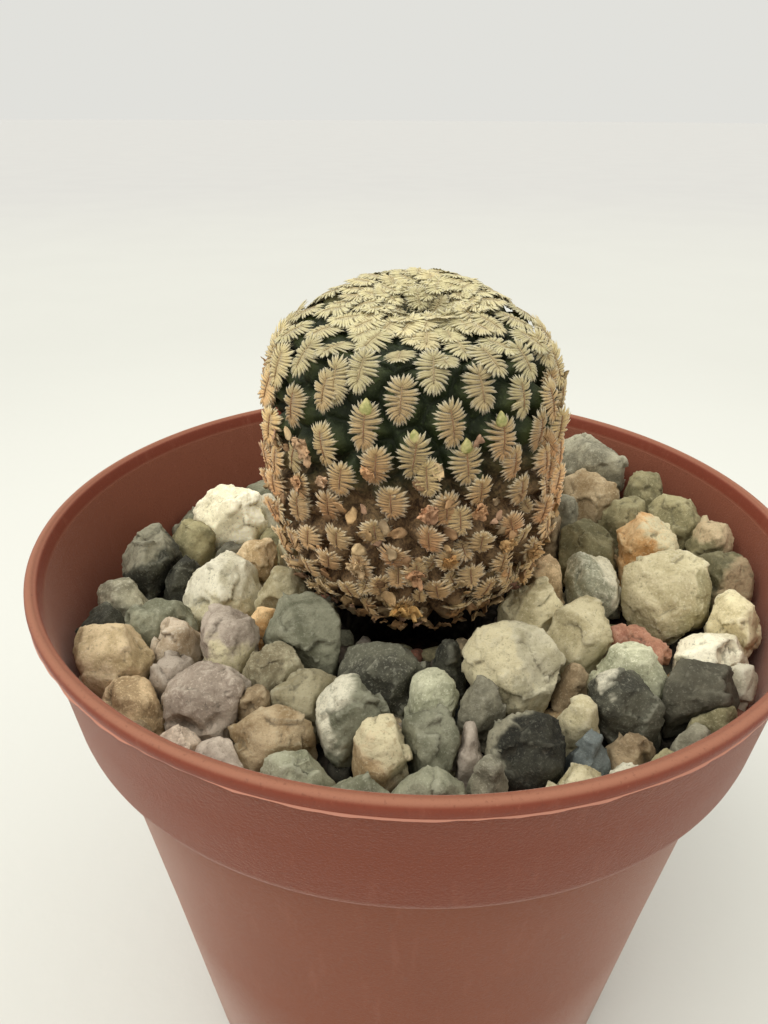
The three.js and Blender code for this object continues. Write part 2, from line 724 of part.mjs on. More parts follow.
function boxFaces(stone) {
  const box = new THREE.BoxGeometry(2 * stone.size.x, 2 * stone.size.y, 2 * stone.size.z);
  box.rotateZ(stone.turn).translate(stone.middle.x, stone.middle.y, stone.middle.z);
  const position = box.getAttribute('position');
  const corner = (i) => new THREE.Vector3().fromBufferAttribute(position, i);
  return [0, 4, 8, 12, 16, 20].map((i) => [i, i + 2, i + 3, i + 1].map(corner));
}

function capFace(rim, normal) {
  const unique = rim.filter((p, i) => rim.findIndex((q) => q.distanceTo(p) < TINY) === i);
  const centre = unique.reduce((sum, p) => sum.add(p), new THREE.Vector3()).divideScalar(unique.length);
  const east = unique[0].clone().sub(centre).normalize();
  const north = normal.clone().cross(east);
  const turn = (p) => Math.atan2(p.clone().sub(centre).dot(north), p.clone().sub(centre).dot(east));
  return unique.sort((a, b) => turn(a) - turn(b));
}

function cutFaces(faces, { normal, offset }) {
  const kept = [];
  const rim = [];
  for (const face of faces) {
    const part = [];
    face.forEach((p, i) => {
      const q = face[(i + 1) % face.length];
      const before = normal.dot(p) - offset;
      const after = normal.dot(q) - offset;
      if (before <= 0) part.push(p);
      if (before * after < 0) {
        const cut = p.clone().lerp(q, before / (before - after));
        part.push(cut);
        rim.push(cut);
      }
    });
    if (part.length > 2) kept.push(part);
  }
  if (rim.length > 4) kept.push(capFace(rim, normal));
  return kept;
}

// Facets that break the box's upright edges and upper corners, more or less deep as the draw falls.
function facetPlanes(stone, draw) {
  const planes = [];
  for (const x of [-1, 1]) {
    for (const y of [-1, 1]) {
      for (const z of stone.bedded ? [1] : [0, 1]) {
        const jitter = () => FACET_JITTER * (draw() - 0.5);
        const local = new THREE.Vector3(x + jitter(), y + jitter(), z + jitter());
        local.divide(stone.size).normalize();
        const normal = local.applyAxisAngle(new THREE.Vector3(0, 0, 1), stone.turn);
        const share = THREE.MathUtils.lerp(...FACET_SHARE, draw());
        planes.push({ normal, offset: normal.dot(stone.middle) + share * reachOf(stone, normal) });
      }
    }
  }
  return planes;
}

function stoneGeometry(stone, others, draw) {
  const planes = [...facetPlanes(stone, draw), ...wallPlanes(stone), plantPlane(stone)];
  if (!stone.bedded) planes.push(...seatPlanes());
  for (const other of others) {
    const plane = other === stone ? null : partingPlane(stone, other);
    if (plane) planes.push(plane);
  }
  const faces = planes.reduce(cutFaces, boxFaces(stone));
  const points = faces.flat();
  const triangles = [];
  let first = 0;
  for (const face of faces) {
    for (let i = 1; i < face.length - 1; i += 1) triangles.push([first, first + i, first + i + 1]);
    first += face.length;
  }
  return closedSurface(points, triangles, STONE_WELD);
}

// Stones behind the plant, on jittered rings, where no other stone lies yet.
function backStones(placed) {
  const draw = random(STONE_SEED);
  const between = ([low, high]) => THREE.MathUtils.lerp(low, high, draw());
  const found = [];
  for (const [radius, count, size] of BACK_RINGS) {
    for (let i = 0; i < count; i += 1) {
      const share = (i + between(BACK_STEP)) / count;
      const angle = radians(THREE.MathUtils.lerp(BACK_FROM, BACK_TO, share));
      const out = radius + BACK_SHIFT * (draw() - 0.5);
      const x = out * Math.cos(angle);
      const y = out * Math.sin(angle);
      const rise = bedHeight(x, y) - POT_HEIGHT + BACK_RISE + BACK_RISE_SPREAD * (draw() - 0.5);
      const length = size * between(BACK_LENGTH);
      const width = size * between(BACK_WIDTH);
      const stone = makeStone(x, y, rise, length, width, 360 * draw(), true);
      const crowded = [...placed, ...found].some((other) => {
        const apart = Math.hypot(other.middle.x - stone.middle.x, other.middle.y - stone.middle.y);
        return apart < CROWDING * (other.size.x + stone.size.x);
      });
      if (!crowded) found.push(stone);
    }
  }
  return found;
}

// Fill. Soil and bed keep clear of the pot, and the taproot stands in a plain hole.

function rootHole() {
  const widen = (radius) => (radius + GAP) / Math.cos(Math.PI / HOLE_SIDES);
  const rising = [...ROOT_OUTLINE].reverse();
  const [tipRadius, tipRise] = rising[0];
  const floor = POT_HEIGHT + tipRise - 1 - GAP;
  const outline = [
    [0, floor],
    [widen(tipRadius), floor],
    ...rising.slice(1).map(([radius, rise]) => [widen(radius), POT_HEIGHT + rise]),
    [widen(rising[rising.length - 1][0]), POT_HEIGHT + HOLE_MOUTH],
    [0, POT_HEIGHT + HOLE_MOUTH],
  ];
  const hole = turned(outline, HOLE_SIDES);
  const position = hole.getAttribute('position');
  for (let i = 0; i < position.count; i += 1) {
    const [x, y] = axisAt(position.getZ(i));
    position.setXY(i, position.getX(i) + x, position.getY(i) + y);
  }
  return toSolid(hole);
}

function soil() {
  const bottom = FLOOR + GAP;
  const body = turned([
    [0, bottom],
    [bodyRadius(bottom) - WALL - GAP, bottom],
    [bodyRadius(SOIL_TOP) - WALL - GAP, SOIL_TOP],
    [0, SOIL_TOP],
  ]);
  return toGeometry(toSolid(body).subtract(rootHole()));
}

// Everything below a plane, as a block large enough for the bed.
function below({ normal, offset }) {
  const size = 4 * POT_HEIGHT;
  const block = new THREE.BoxGeometry(size, size, size).translate(0, 0, -size / 2);
  const turn = new THREE.Quaternion().setFromUnitVectors(new THREE.Vector3(0, 0, 1), normal);
  const place = normal.clone().multiplyScalar(offset);
  return toSolid(weld(block.applyQuaternion(turn).translate(place.x, place.y, place.z)));
}

function gravelBed(stoneShapes) {
  const bottom = SOIL_TOP + GAP;
  const narrow = COLLAR_FOOT - 2 * COLLAR_STEP;
  const wide = COLLAR_FOOT - COLLAR_STEP / 2 + GAP / 2;
  const full = toSolid(turned([
    [0, bottom],
    [bodyRadius(bottom) - WALL - GAP, bottom],
    [bodyRadius(narrow) - WALL - GAP, narrow],
    [COLLAR_FOOT_RADIUS - WALL - GAP, wide],
    [COLLAR_FOOT_RADIUS - WALL - GAP, POT_HEIGHT],
    [0, POT_HEIGHT],
  ]));
  const [flat, slope] = bedPlanes().map((plane) => full.intersect(below(plane)));
  let solid = flat.add(slope);
  for (const shape of stoneShapes) solid = solid.add(toSolid(shape));
  return toGeometry(solid.subtract(rootHole()));
}

// Assembly.

const part = new THREE.Group();
part.name = 'potted_turbinicarpus_pseudopectinatus';

function addPiece(name, geometry, colour, roughness) {
  const material = new THREE.MeshStandardMaterial({ color: COLOURS[colour], roughness, metalness: 0 });
  material.flatShading = true;
  const mesh = new THREE.Mesh(geometry, material);
  mesh.name = name;
  part.add(mesh);
}

const free = FREE_STONES.map(([, ...place]) => makeStone(...place, false));
const bedded = BEDDED_STONES.map((place) => makeStone(...place, 0, true));
bedded.push(...backStones([...free, ...bedded]));
const everyStone = [...free, ...bedded];
const facetDraw = random(FACET_SEED);
const shapes = everyStone.map((stone) => stoneGeometry(stone, everyStone, facetDraw));

addPiece('pot', pot(), 'pot', 0.5);
addPiece('soil', soil(), 'soil', 1);
addPiece('gravel_bed', gravelBed(shapes.slice(free.length)), 'bed', 0.95);
addPiece('cactus', cactus(), 'cactus', 0.8);
FREE_STONES.forEach(([colour], i) => {
  const number = String(i + 1).padStart(2, '0');
  addPiece(`stone_${number}_${colour}`, shapes[i], colour, 0.9);
});

export default part;
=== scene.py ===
"""A potted Turbinicarpus pseudopectinatus: pot, stones, plant, and the studio round them.

Shapes are worked in millimetres with z = 0 under the pot, and brought to metres at the end.
"""
import math
import random

import bmesh
import bpy
import numpy as np
from mathutils import Matrix, Vector, kdtree, noise


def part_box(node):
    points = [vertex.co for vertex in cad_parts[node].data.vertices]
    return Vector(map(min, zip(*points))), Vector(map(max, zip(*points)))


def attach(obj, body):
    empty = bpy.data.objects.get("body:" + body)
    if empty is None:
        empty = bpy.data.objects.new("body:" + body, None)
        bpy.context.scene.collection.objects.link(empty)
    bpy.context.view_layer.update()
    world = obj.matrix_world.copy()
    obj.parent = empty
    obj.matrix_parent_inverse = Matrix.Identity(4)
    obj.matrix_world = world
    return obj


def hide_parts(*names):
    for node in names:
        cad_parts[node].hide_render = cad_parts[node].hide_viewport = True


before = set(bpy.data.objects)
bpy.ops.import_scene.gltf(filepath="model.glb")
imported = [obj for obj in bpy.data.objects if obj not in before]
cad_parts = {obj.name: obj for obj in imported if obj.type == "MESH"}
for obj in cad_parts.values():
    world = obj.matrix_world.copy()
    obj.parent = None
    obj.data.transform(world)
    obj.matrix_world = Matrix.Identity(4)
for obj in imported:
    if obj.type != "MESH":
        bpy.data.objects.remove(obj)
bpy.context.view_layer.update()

MM = 0.001
RIM = 48.0


# Helpers for shapes.

def smooth_step(value, low, high):
    share = np.clip((value - low) / (high - low), 0, 1)
    return share * share * (3 - 2 * share)


def cad_shape(node):
    """A copy of a CAD node in millimetres, its doubles merged."""
    bm = bmesh.new()
    bm.from_mesh(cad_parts[node].data)
    bmesh.ops.scale(bm, vec=(1 / MM,) * 3, verts=bm.verts)
    bmesh.ops.remove_doubles(bm, verts=bm.verts, dist=0.001)
    return bm


def mesh_of(name, bm):
    """A mesh from a finished shape, which is used up."""
    mesh = bpy.data.meshes.new(name)
    bm.to_mesh(mesh)
    bm.free()
    return mesh


def placed(name, data):
    """A new object at the origin of the scene."""
    made = bpy.data.objects.new(name, data)
    bpy.context.scene.collection.objects.link(made)
    return made


def as_modified(holder):
    """The shape that an object has with its modifiers at work."""
    ready = holder.evaluated_get(bpy.context.evaluated_depsgraph_get())
    done = bmesh.new()
    done.from_mesh(ready.to_mesh())
    ready.to_mesh_clear()
    return done


def throw_away(*holders):
    for holder in holders:
        mesh = holder.data
        bpy.data.objects.remove(holder)
        bpy.data.meshes.remove(mesh)


def even_net(bm, cell):
    """The same closed shape as an even net of small faces."""
    holder = placed("net", mesh_of("net", bm))
    net = holder.modifiers.new("net", "REMESH")
    net.mode = "VOXEL"
    net.voxel_size = cell
    done = as_modified(holder)
    throw_away(holder)
    return done


def cut_flat(bm, point, way, **cleared):
    """Cuts a closed shape at a plane, clears one side of it and closes the cut."""
    bmesh.ops.bisect_plane(bm, geom=bm.verts[:] + bm.edges[:] + bm.faces[:], dist=1e-5,
                           plane_co=point, plane_no=way, **cleared)
    bmesh.ops.holes_fill(bm, edges=[e for e in bm.edges if e.is_boundary], sides=0)


def soften(bm, factor):
    bmesh.ops.smooth_vert(bm, verts=bm.verts, factor=factor, use_axis_x=True, use_axis_y=True,
                          use_axis_z=True)


def ball(bm, detail):
    """The vertices of a new ball with a radius of 1, to be pressed into shape."""
    return bmesh.ops.create_icosphere(bm, subdivisions=detail, radius=1)["verts"]


def own_shift(seed, steps, span):
    """Where in a noise a piece takes its pattern from, so that no two are alike."""
    return Vector([seed * step % span for step in steps])


def set_places(bm, places):
    for vert, place in zip(bm.verts, places):
        vert.co = place


def paint(bm, name, tones):
    """Gives each vertex its own colour, under an attribute name."""
    layer = bm.verts.layers.float_color.new(name)
    for vert, tone in zip(bm.verts, tones):
        vert[layer] = (*tone[:3], 1.0)


def note(bm, name, values):
    """Gives each vertex its own number, under an attribute name."""
    layer = bm.verts.layers.float.new(name)
    for vert, value in zip(bm.verts, values):
        vert[layer] = value


def spun(outline, turns, closed=False):
    """A solid turned from radii and heights that start and end on the axis, or close up."""
    bm = bmesh.new()
    ring = [bm.verts.new((r, 0, z)) for r, z in outline]
    after = ring[1:] + ring[:1] if closed else ring[1:]
    edges = [bm.edges.new(pair) for pair in zip(ring, after)]
    bmesh.ops.spin(bm, geom=ring + edges, cent=(0, 0, 0), axis=(0, 0, 1), angle=2 * math.pi,
                   steps=turns, use_merge=True)
    bmesh.ops.remove_doubles(bm, verts=bm.verts, dist=1e-4)
    bmesh.ops.recalc_face_normals(bm, faces=bm.faces)
    return bm


def finish_piece(name, bm, material, nodes, recalc=True):
    """Turns a shape in millimetres into a piece in metres that stands in for CAD nodes."""
    if recalc:
        bmesh.ops.recalc_face_normals(bm, faces=bm.faces)
    bmesh.ops.scale(bm, vec=(MM,) * 3, verts=bm.verts)
    for face in bm.faces:
        face.smooth = True
    piece = placed(name, mesh_of(name, bm))
    piece.data.materials.append(material)
    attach(piece, "root")
    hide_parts(*nodes)


# Helpers for finishes.

def colour(text):
    """Scene-linear colour from a screen colour written as six hex digits."""
    parts = [int(text[i:i + 2], 16) / 255 for i in (0, 2, 4)]
    return [p / 12.92 if p <= 0.04045 else ((p + 0.055) / 1.055) ** 2.4 for p in parts] + [1.0]


class Nodes:
    """A shader's node tree, fed with values, screen colours or other nodes' outputs."""

    def __init__(self, tree):
        self.tree = tree

    def add(self, kind, **settings):
        node = self.tree.nodes.new(kind)
        for key, value in settings.items():
            setattr(node, key, value)
        return node

    def put(self, socket, value):
        if isinstance(value, bpy.types.NodeSocket):
            self.tree.links.new(value, socket)
        else:
            socket.default_value = colour(value) if isinstance(value, str) else value

    def fed(self, kind, entries, **settings):
        node = self.add(kind, **settings)
        for name, entry in entries.items():
            self.put(node.inputs[name], entry)
        return node

    def sum(self, a, b):
        return self.fed("ShaderNodeMath", {0: a, 1: b}, operation="ADD").outputs[0]

    def product(self, a, b):
        return self.fed("ShaderNodeMath", {0: a, 1: b}, operation="MULTIPLY").outputs[0]

    def band(self, value, low, high, start=0.0, end=1.0):
        """Runs softly from start to end while a value runs from low to high."""
        return self.fed("ShaderNodeMapRange", {
            "Value": value, "From Min": low, "From Max": high, "To Min": start, "To Max": end},
            interpolation_type="SMOOTHSTEP").outputs["Result"]

    def between(self, value, rise, fall):
        """1 where a value lies between two soft limits, and 0 beyond them."""
        return self.product(self.band(value, *rise), self.band(value, *fall, 1.0, 0.0))

    def mix(self, share, a, b):
        return self.fed("ShaderNodeMix", {0: share, 6: a, 7: b}, data_type="RGBA").outputs[2]

    def layered(self, base, *layers):
        """Lays colours over a base in turn, each where a value lies in a band."""
        for value, band, tint in layers:
            base = self.mix(self.band(value, *band), base, tint)
        return base


class Finish(Nodes):
    """A material built up node by node round one Principled shader."""

    def __init__(self, name, roughness, **sockets):
        self.material = bpy.data.materials.new(name)
        self.material.use_nodes = True
        super().__init__(self.material.node_tree)
        self.shader = self.tree.nodes["Principled BSDF"]
        self.shader.inputs["Roughness"].default_value = roughness
        for socket, value in sockets.items():
            self.shader.inputs[socket.replace("_", " ")].default_value = value
        self.place = self.add("ShaderNodeTexCoord").outputs["Object"]

    def shifted(self, offset=(0, 0, 0), stretch=(1, 1, 1)):
        """The place in millimetres, stretched and moved."""
        return self.fed("ShaderNodeMapping", {
            "Vector": self.place, "Location": offset,
            "Scale": [s / MM for s in stretch]}).outputs["Vector"]

    def length(self, vector):
        return self.fed("ShaderNodeVectorMath", {0: vector}, operation="LENGTH").outputs["Value"]

    def axis(self, vector, direction):
        """How far a place lies along a direction."""
        return self.fed("ShaderNodeVectorMath", {0: vector, 1: direction},
                        operation="DOT_PRODUCT").outputs["Value"]

    def noise(self, at, scale, detail=4.0, roughness=0.55, distortion=0.0):
        return self.fed("ShaderNodeTexNoise", {
            "Vector": at, "Scale": scale, "Detail": detail, "Roughness": roughness,
            "Distortion": distortion}).outputs["Fac"]

    def cells(self, at, scale):
        return self.fed("ShaderNodeTexVoronoi", {"Vector": at, "Scale": scale}).outputs["Distance"]

    def attribute(self, name):
        return self.add("ShaderNodeAttribute", attribute_name=name).outputs

    def bump(self, height, depth):
        return self.fed("ShaderNodeBump", {
            "Height": height, "Distance": depth * MM, "Strength": 1.0}).outputs["Normal"]

    def close(self, base, normal=None, roughness=None):
        """Feeds the shader, and gives the material."""
        for name, entry in (("Base Color", base), ("Normal", normal), ("Roughness", roughness)):
            if entry is not None:
                self.put(self.shader.inputs[name], entry)
        return self.material


# Pot: a thin moulded shell with a flat-topped lip, a grained collar and a smooth tapered body.

POT_TURNS = 360
# The flash is a ragged line round the lip: its heights, the radius it starts at, its wander.
FLASH = (46.9, 47.0)
FLASH_FROM = 27.3
FLASH_WANDER = 0.16
POT_OUTLINE = [
    (0.0, 0.9), (17.3, 0.9), (17.3, 0.15), (17.45, 0.0), (19.1, 0.0), (19.45, 0.1), (19.68, 0.5),
    (22.0, 19.4), (24.3, 37.0), (24.52, 37.5), (24.85, 37.9), (25.35, 38.2), (25.72, 38.42),
    (25.92, 38.7), (26.0, 39.1), (26.45, 43.0), (26.86, 46.7), (26.92, 46.84), (27.1, 46.88),
    (27.34, 46.9), (27.4, 46.95), (27.35, 47.01), (27.4, 47.12), (27.47, 47.35), (27.49, 47.6),
    (27.46, 47.8), (27.38, 47.93), (27.22, 47.99), (27.02, 48.0), (26.97, 47.93), (26.8, 47.91),
    (26.7, 47.84), (26.65, 47.7), (26.55, 47.3), (26.3, 46.0), (25.85, 42.5), (25.35, 39.4),
    (25.15, 38.9), (24.8, 38.6), (24.2, 38.3), (23.8, 37.8), (23.6, 37.0), (21.2, 19.4),
    (19.05, 2.6), (18.6, 2.1), (18.0, 2.0), (0.0, 2.0),
]
DRAIN_RADIUS = 2.4
DRAIN_CIRCLE = 11.0
DRAIN_CORNERS = [math.radians(a) for a in (45, 135, 225, 315)]


def pot_shape():
    """The turned shell, with the ragged line of flash that the mould left under the lip."""
    bm = spun(POT_OUTLINE, POT_TURNS)
    for vert in bm.verts:
        reach = math.hypot(vert.co.x, vert.co.y)
        if FLASH[0] < vert.co.z < FLASH[1] and reach > FLASH_FROM:
            way = Vector((vert.co.x, vert.co.y, 0)) / reach
            ragged = 0.4 + noise.noise(way * 4.0) + 0.7 * noise.noise(way * 21.0)
            grow = FLASH_WANDER * min(0.6, max(-0.3, ragged)) - 0.02
            vert.co += way * grow - Vector((0, 0, 0.3 * grow))
    return bm


def drilled(bm):
    """Cuts the five drain holes through the pot's floor."""
    drills = bmesh.new()
    for x, y in [(0.0, 0.0)] + [(DRAIN_CIRCLE * math.cos(a), DRAIN_CIRCLE * math.sin(a))
                                for a in DRAIN_CORNERS]:
        bmesh.ops.create_cone(drills, cap_ends=True, segments=32, radius1=DRAIN_RADIUS,
                              radius2=DRAIN_RADIUS, depth=6,
                              matrix=Matrix.Translation((x, y, 1.5)))
    blank = placed("blank", mesh_of("blank", bm))
    tool = placed("drills", mesh_of("drills", drills))
    cut = blank.modifiers.new("cut", "BOOLEAN")
    cut.operation = "DIFFERENCE"
    cut.object = tool
    done = as_modified(blank)
    throw_away(blank, tool)
    return done


def pot_finish():
    f = Finish("pot_plastic", 0.55, Specular_IOR_Level=0.18, Sheen_Weight=0.42,
               Sheen_Roughness=0.2, Sheen_Tint=(1.0, 0.84, 0.74, 1.0))
    at = f.shifted()
    height = f.axis(at, (0, 0, 1))
    reach = f.sum(f.length(f.shifted(stretch=(1, 1, 0))), f.product(height, -0.13))
    painted_light_inside = f.product(f.band(reach, 20.5, 20.65, 1.0, 0.0), f.band(height, 38.0, 38.6))
    outside = f.band(reach, 20.65, 20.8)
    collar = f.between(height, (38.5, 38.9), (46.8, 46.9))
    edge = f.between(height, (46.86, 46.9), (46.98, 47.04))
    foot = f.between(height, (37.7, 38.1), (38.2, 38.5))
    lip = f.band(height, 46.9, 47.1)
    cloud = f.noise(at, 0.16, 3)
    fine = f.noise(at, 5.0, 3, 0.7)
    streak = f.noise(f.shifted((3, 1, 2), stretch=(1, 1, 0.12)), 1.1, 4, 0.6)
    base = f.mix(cloud, "773f28", "80452d")
    # The inner wall's lighter colour is painted light, standing in for the light that falls inside
    # the pot.
    for share, tint in ((collar, "793e2b"), (painted_light_inside, "86503d"), (lip, "7d3d2c")):
        base = f.mix(share, base, tint)
    # The flat top of the lip is painted lighter, a painted highlight; the streaks and fine marks
    # after it are the plastic's grain.
    base = f.layered(base, (height, (47.75, 48.0, 0.0, 0.55), "ac7c62"),
                     (streak, (0.55, 0.8, 0.0, 0.25), "9b6450"),
                     (fine, (0.58, 0.74, 0.0, 0.3), "a8705a"),
                     (fine, (0.3, 0.44, 0.35, 0.0), "5c2f20"))
    base = f.mix(f.product(f.product(edge, outside), 0.8), base, "dc9c86")
    base = f.mix(f.product(foot, f.band(cloud, 0.35, 0.7, 0.1, 0.5)), base, "a06a55")
    grain = f.product(f.noise(at, 5.5, 4, 0.75), f.band(collar, 0, 1, 0.4, 1.0))
    return f.close(base, f.bump(grain, 0.06), f.band(fine, 0.3, 0.7, 0.5, 0.65))


# Plant. A point of its skin is named by the distance down the outline from the apex, the angle
# about the plant's axis and a depth below the crests.

CREST_OUTLINE = [
    (0, 16.4), (1.2, 16.5), (2.3, 16.9), (3.6, 17.1), (5.4, 16.75), (7.5, 15.45), (9.3, 13.45),
    (10.35, 10.45), (10.65, 6.45), (10.75, 2.45), (10.15, -1.55), (8.4, -4.55), (7.2, -6.3),
    (6.2, -7.2), (5.6, -7.8),
]
AXIS_AT_RIM = (-0.28, 1.0)
AXIS_LEAN = (-0.015, -0.02)
# The crown tilts to the photo's side. Its front has a lip round the hollow and a fuller shoulder,
# and the apex lies a little off the axis.
CROWN_SLOPE = 0.3
CROWN_DROP = 1.35
CROWN_REACH = (4.4, 10.5)
CROWN_LIP = 0.75
CROWN_LIP_RADIUS = 2.9
CROWN_LIP_SPREAD = 1.4
HOLLOW_DEPTH = 1.15
HOLLOW_RADIUS = 1.45
SHOULDER_LIFT = 0.75
SHOULDER_RADIUS = 5.3
SHOULDER_SPREAD = 1.5
APEX_SHIFT = (0.8, -0.7)
APEX_REACH = (1.5, 7.0)
# The areoles follow one spiral. Those past the last comb only shape the foot of the skin.
DIVERGENCE = 137.39
FIRST_AREOLE_ANGLE = 55.0
FIRST_AREOLE_DISTANCE = 0.35
AREOLES = 244
GHOST_AREOLES = 50
# By areole age: square millimetres of skin to each, and degrees that the spiral wanders.
SKIN_PER_AREOLE = ((0, 15, 30, 60, 85, 115, 150, 300), (2.4, 5, 7.6, 7.6, 8.2, 6.4, 5.8, 5.3))
SPIRAL_WANDER = ((0, 45, 75, 122, 145, 170, 190, 300), (-5, -5, 4.5, 4.5, -5, -5, 0, 3))
# Areoles that strayed from the spiral as the plant grew: millimetres down and degrees round.
STRAYS = {
    46: (0.8, 0), 49: (-0.4, 0), 51: (0, 2), 54: (-0.5, 6), 57: (-0.7, -5), 62: (-0.2, 2),
    64: (-0.2, -3), 67: (-0.3, 4), 70: (-0.1, -2), 72: (-0.9, 6), 75: (0.2, 0), 78: (0.1, -4),
    80: (-0.1, 3), 83: (0.6, 0), 85: (-0.9, 4), 88: (0.6, 1), 93: (0, 1), 96: (0.3, 0),
    101: (-0.2, 2), 109: (-0.4, 0), 114: (-0.3, 3), 122: (0.1, 2), 130: (-0.2, 5),
    135: (-0.1, -2), 138: (-0.1, -6), 143: (0.3, 0), 146: (0.5, -1), 148: (-0.3, 1),
    156: (0.3, 0), 164: (0.3, 2), 172: (-0.1, 2), 177: (0.4, 1), 180: (0.4, 3), 185: (-0.3, 1),
    190: (-0.5, -1), 193: (-0.3, 1), 206: (-0.4, 2), 214: (-0.3, 4), 219: (0.4, 3), 227: (0.2, 8),
}
# By areole age: the size of a comb, how much wider it is above, and how deep the valleys are.
COMB_AGES = (0, 12, 30, 60, 90, 115, 150, 200, 300)
COMB_HALF_HEIGHT = (COMB_AGES, (1.0, 1.35, 1.5, 1.58, 1.58, 1.28, 1.15, 1.15, 1.15))
COMB_HALF_WIDTH = (COMB_AGES, (1.0, 1.25, 1.15, 1.1, 1.12, 1.18, 1.15, 1.1, 1.08))
COMB_SHIELD = (COMB_AGES, (0.0, 0.05, 0.15, 0.2, 0.2, 0.1, 0.05, 0.0, 0.0))
VALLEY_DEPTH = ((0, 20, 50, 80, 120, 180, 300), (0.25, 0.5, 1.1, 1.5, 1.5, 1.2, 1))
SPAN_STEPS = 80
MAP_STEPS = 1200


def crest_table():
    """Columns down the outline: distance, radius, height, slope of both, and the map's radius."""
    knots = np.array(CREST_OUTLINE, float)
    before = np.vstack([knots[:1], knots[:-2]])
    after = np.vstack([knots[2:], knots[-1:]])
    w = np.arange(SPAN_STEPS)[:, None] / SPAN_STEPS
    rows = []
    for a, p, q, b in zip(before, knots[:-1], knots[1:], after):
        start, end = (q - a) / 2, (b - p) / 2
        rows.append((2 * p - 2 * q + start + end) * w**3
                    + (3 * q - 3 * p - 2 * start - end) * w**2 + start * w + p)
    line = np.vstack([*rows, knots[-1:]])
    step = np.hypot(*np.diff(line, axis=0).T)
    s = np.concatenate([[0], np.cumsum(step)])
    slope = np.gradient(line, s, axis=0)
    slope /= np.hypot(*slope.T)[:, None]
    even = np.linspace(s[-1] / (MAP_STEPS + 2), s[-1], MAP_STEPS + 1)
    radius = np.interp(even, s, line[:, 0])
    grow = np.diff(even) / ((radius[1:] + radius[:-1]) / 2)
    flat = np.concatenate([[0], np.cumsum(grow)])
    return s, line, slope, even, flat


CREST_S, CREST_LINE, CREST_SLOPE, MAP_S, MAP_LOG = crest_table()
CREST_LENGTH = CREST_S[-1]


def crest_radius(s):
    return np.interp(s, CREST_S, CREST_LINE[:, 0])


def crest_height(s):
    """Height above the rim."""
    return np.interp(s, CREST_S, CREST_LINE[:, 1])


def on_skin(s, angle, depth):
    """Places in millimetres, for arrays of distances, angles and depths."""
    slope_r = np.interp(s, CREST_S, CREST_SLOPE[:, 0])
    slope_z = np.interp(s, CREST_S, CREST_SLOPE[:, 1])
    r = crest_radius(s) + slope_z * depth
    z = crest_height(s) - slope_r * depth
    x = AXIS_AT_RIM[0] + AXIS_LEAN[0] * z + r * np.cos(angle)
    y = AXIS_AT_RIM[1] + AXIS_LEAN[1] * z + r * np.sin(angle)
    share = 1 - smooth_step(s, *CROWN_REACH)
    tilt = share * (CROWN_SLOPE * r * np.sin(angle) - CROWN_DROP)
    front = (1 - np.sin(angle)) / 2
    lift = CROWN_LIP * front * np.exp(-((r - CROWN_LIP_RADIUS) / CROWN_LIP_SPREAD) ** 2)
    lift += SHOULDER_LIFT * front * np.exp(-((r - SHOULDER_RADIUS) / SHOULDER_SPREAD) ** 2)
    lift -= HOLLOW_DEPTH * np.exp(-((r / HOLLOW_RADIUS) ** 2))
    moved = 1 - smooth_step(s, *APEX_REACH)
    return np.stack([x + APEX_SHIFT[0] * moved, y + APEX_SHIFT[1] * moved, z + tilt + lift + RIM],
                    axis=-1)


def flat_map(s, angle):
    """The skin unrolled to a plane without changing its angles."""
    rho = np.exp(np.interp(s, MAP_S, MAP_LOG))
    return rho * np.cos(angle), rho * np.sin(angle)


def areole_places():
    """Distance and angle of each areole, the youngest first."""
    places = []
    s = FIRST_AREOLE_DISTANCE
    for age in range(AREOLES + GHOST_AREOLES):
        down, turn = STRAYS.get(age, (0, 0))
        turn += np.interp(age, *SPIRAL_WANDER)
        angle = math.radians(FIRST_AREOLE_ANGLE + DIVERGENCE * age + turn)
        places.append((min(s + down, CREST_LENGTH + 3), angle))
        area = np.interp(age, *SKIN_PER_AREOLE)
        s += area / (2 * math.pi * crest_radius(min(s, CREST_LENGTH * 0.999)))
    return places


AREOLE_PLACES = areole_places()

SKIN_ROUND = 370
SKIN_DOWN = 215
SKIN_UNDER_COMB = 0.3
VALLEY_SHARPNESS = 1.8


def skin_shape():
    """The tubercled body: a net wrapped round the plant and sunk into the valleys."""
    bm = bmesh.new()
    bmesh.ops.create_grid(bm, x_segments=SKIN_ROUND, y_segments=SKIN_DOWN, size=1)
    grid = np.array([v.co for v in bm.verts])
    angle = (grid[:, 0] + 1) * math.pi
    s = 0.02 + (grid[:, 1] + 1) / 2 * (CREST_LENGTH - 0.02)
    u, v = flat_map(s, angle)
    tree = kdtree.KDTree(len(AREOLE_PLACES))
    for age, (at, turn) in enumerate(AREOLE_PLACES):
        x, y = flat_map(min(at, CREST_LENGTH), turn)
        rho = math.hypot(x, y) * math.exp(max(0.0, at - CREST_LENGTH) / 5.6)
        tree.insert((rho * math.cos(turn), rho * math.sin(turn), 0), age)
    tree.balance()
    share = np.empty(len(s))
    ages = np.empty(len(s))
    for i, (a, b) in enumerate(zip(u, v)):
        (_, age, near), (_, _, far) = tree.find_n((a, b, 0), 2)
        share[i] = (far - near) / (far + near)
        ages[i] = age
    valley = np.interp(ages, *VALLEY_DEPTH)
    places = on_skin(s, angle, 0)
    wrinkle = np.array([noise.fractal(Vector(p) * 0.9, 0.9, 2.0, 4) for p in places])
    old = smooth_step(-crest_height(s), -9.0, -4.0)
    depth = (SKIN_UNDER_COMB + valley * (1 - share) ** VALLEY_SHARPNESS
             + wrinkle * (0.06 + 0.1 * old))
    set_places(bm, on_skin(s, angle, depth))
    note(bm, "tubercle", share)
    bmesh.ops.remove_doubles(bm, verts=bm.verts, dist=1e-3)
    bmesh.ops.holes_fill(bm, edges=[e for e in bm.edges if e.is_boundary], sides=0)
    return bm


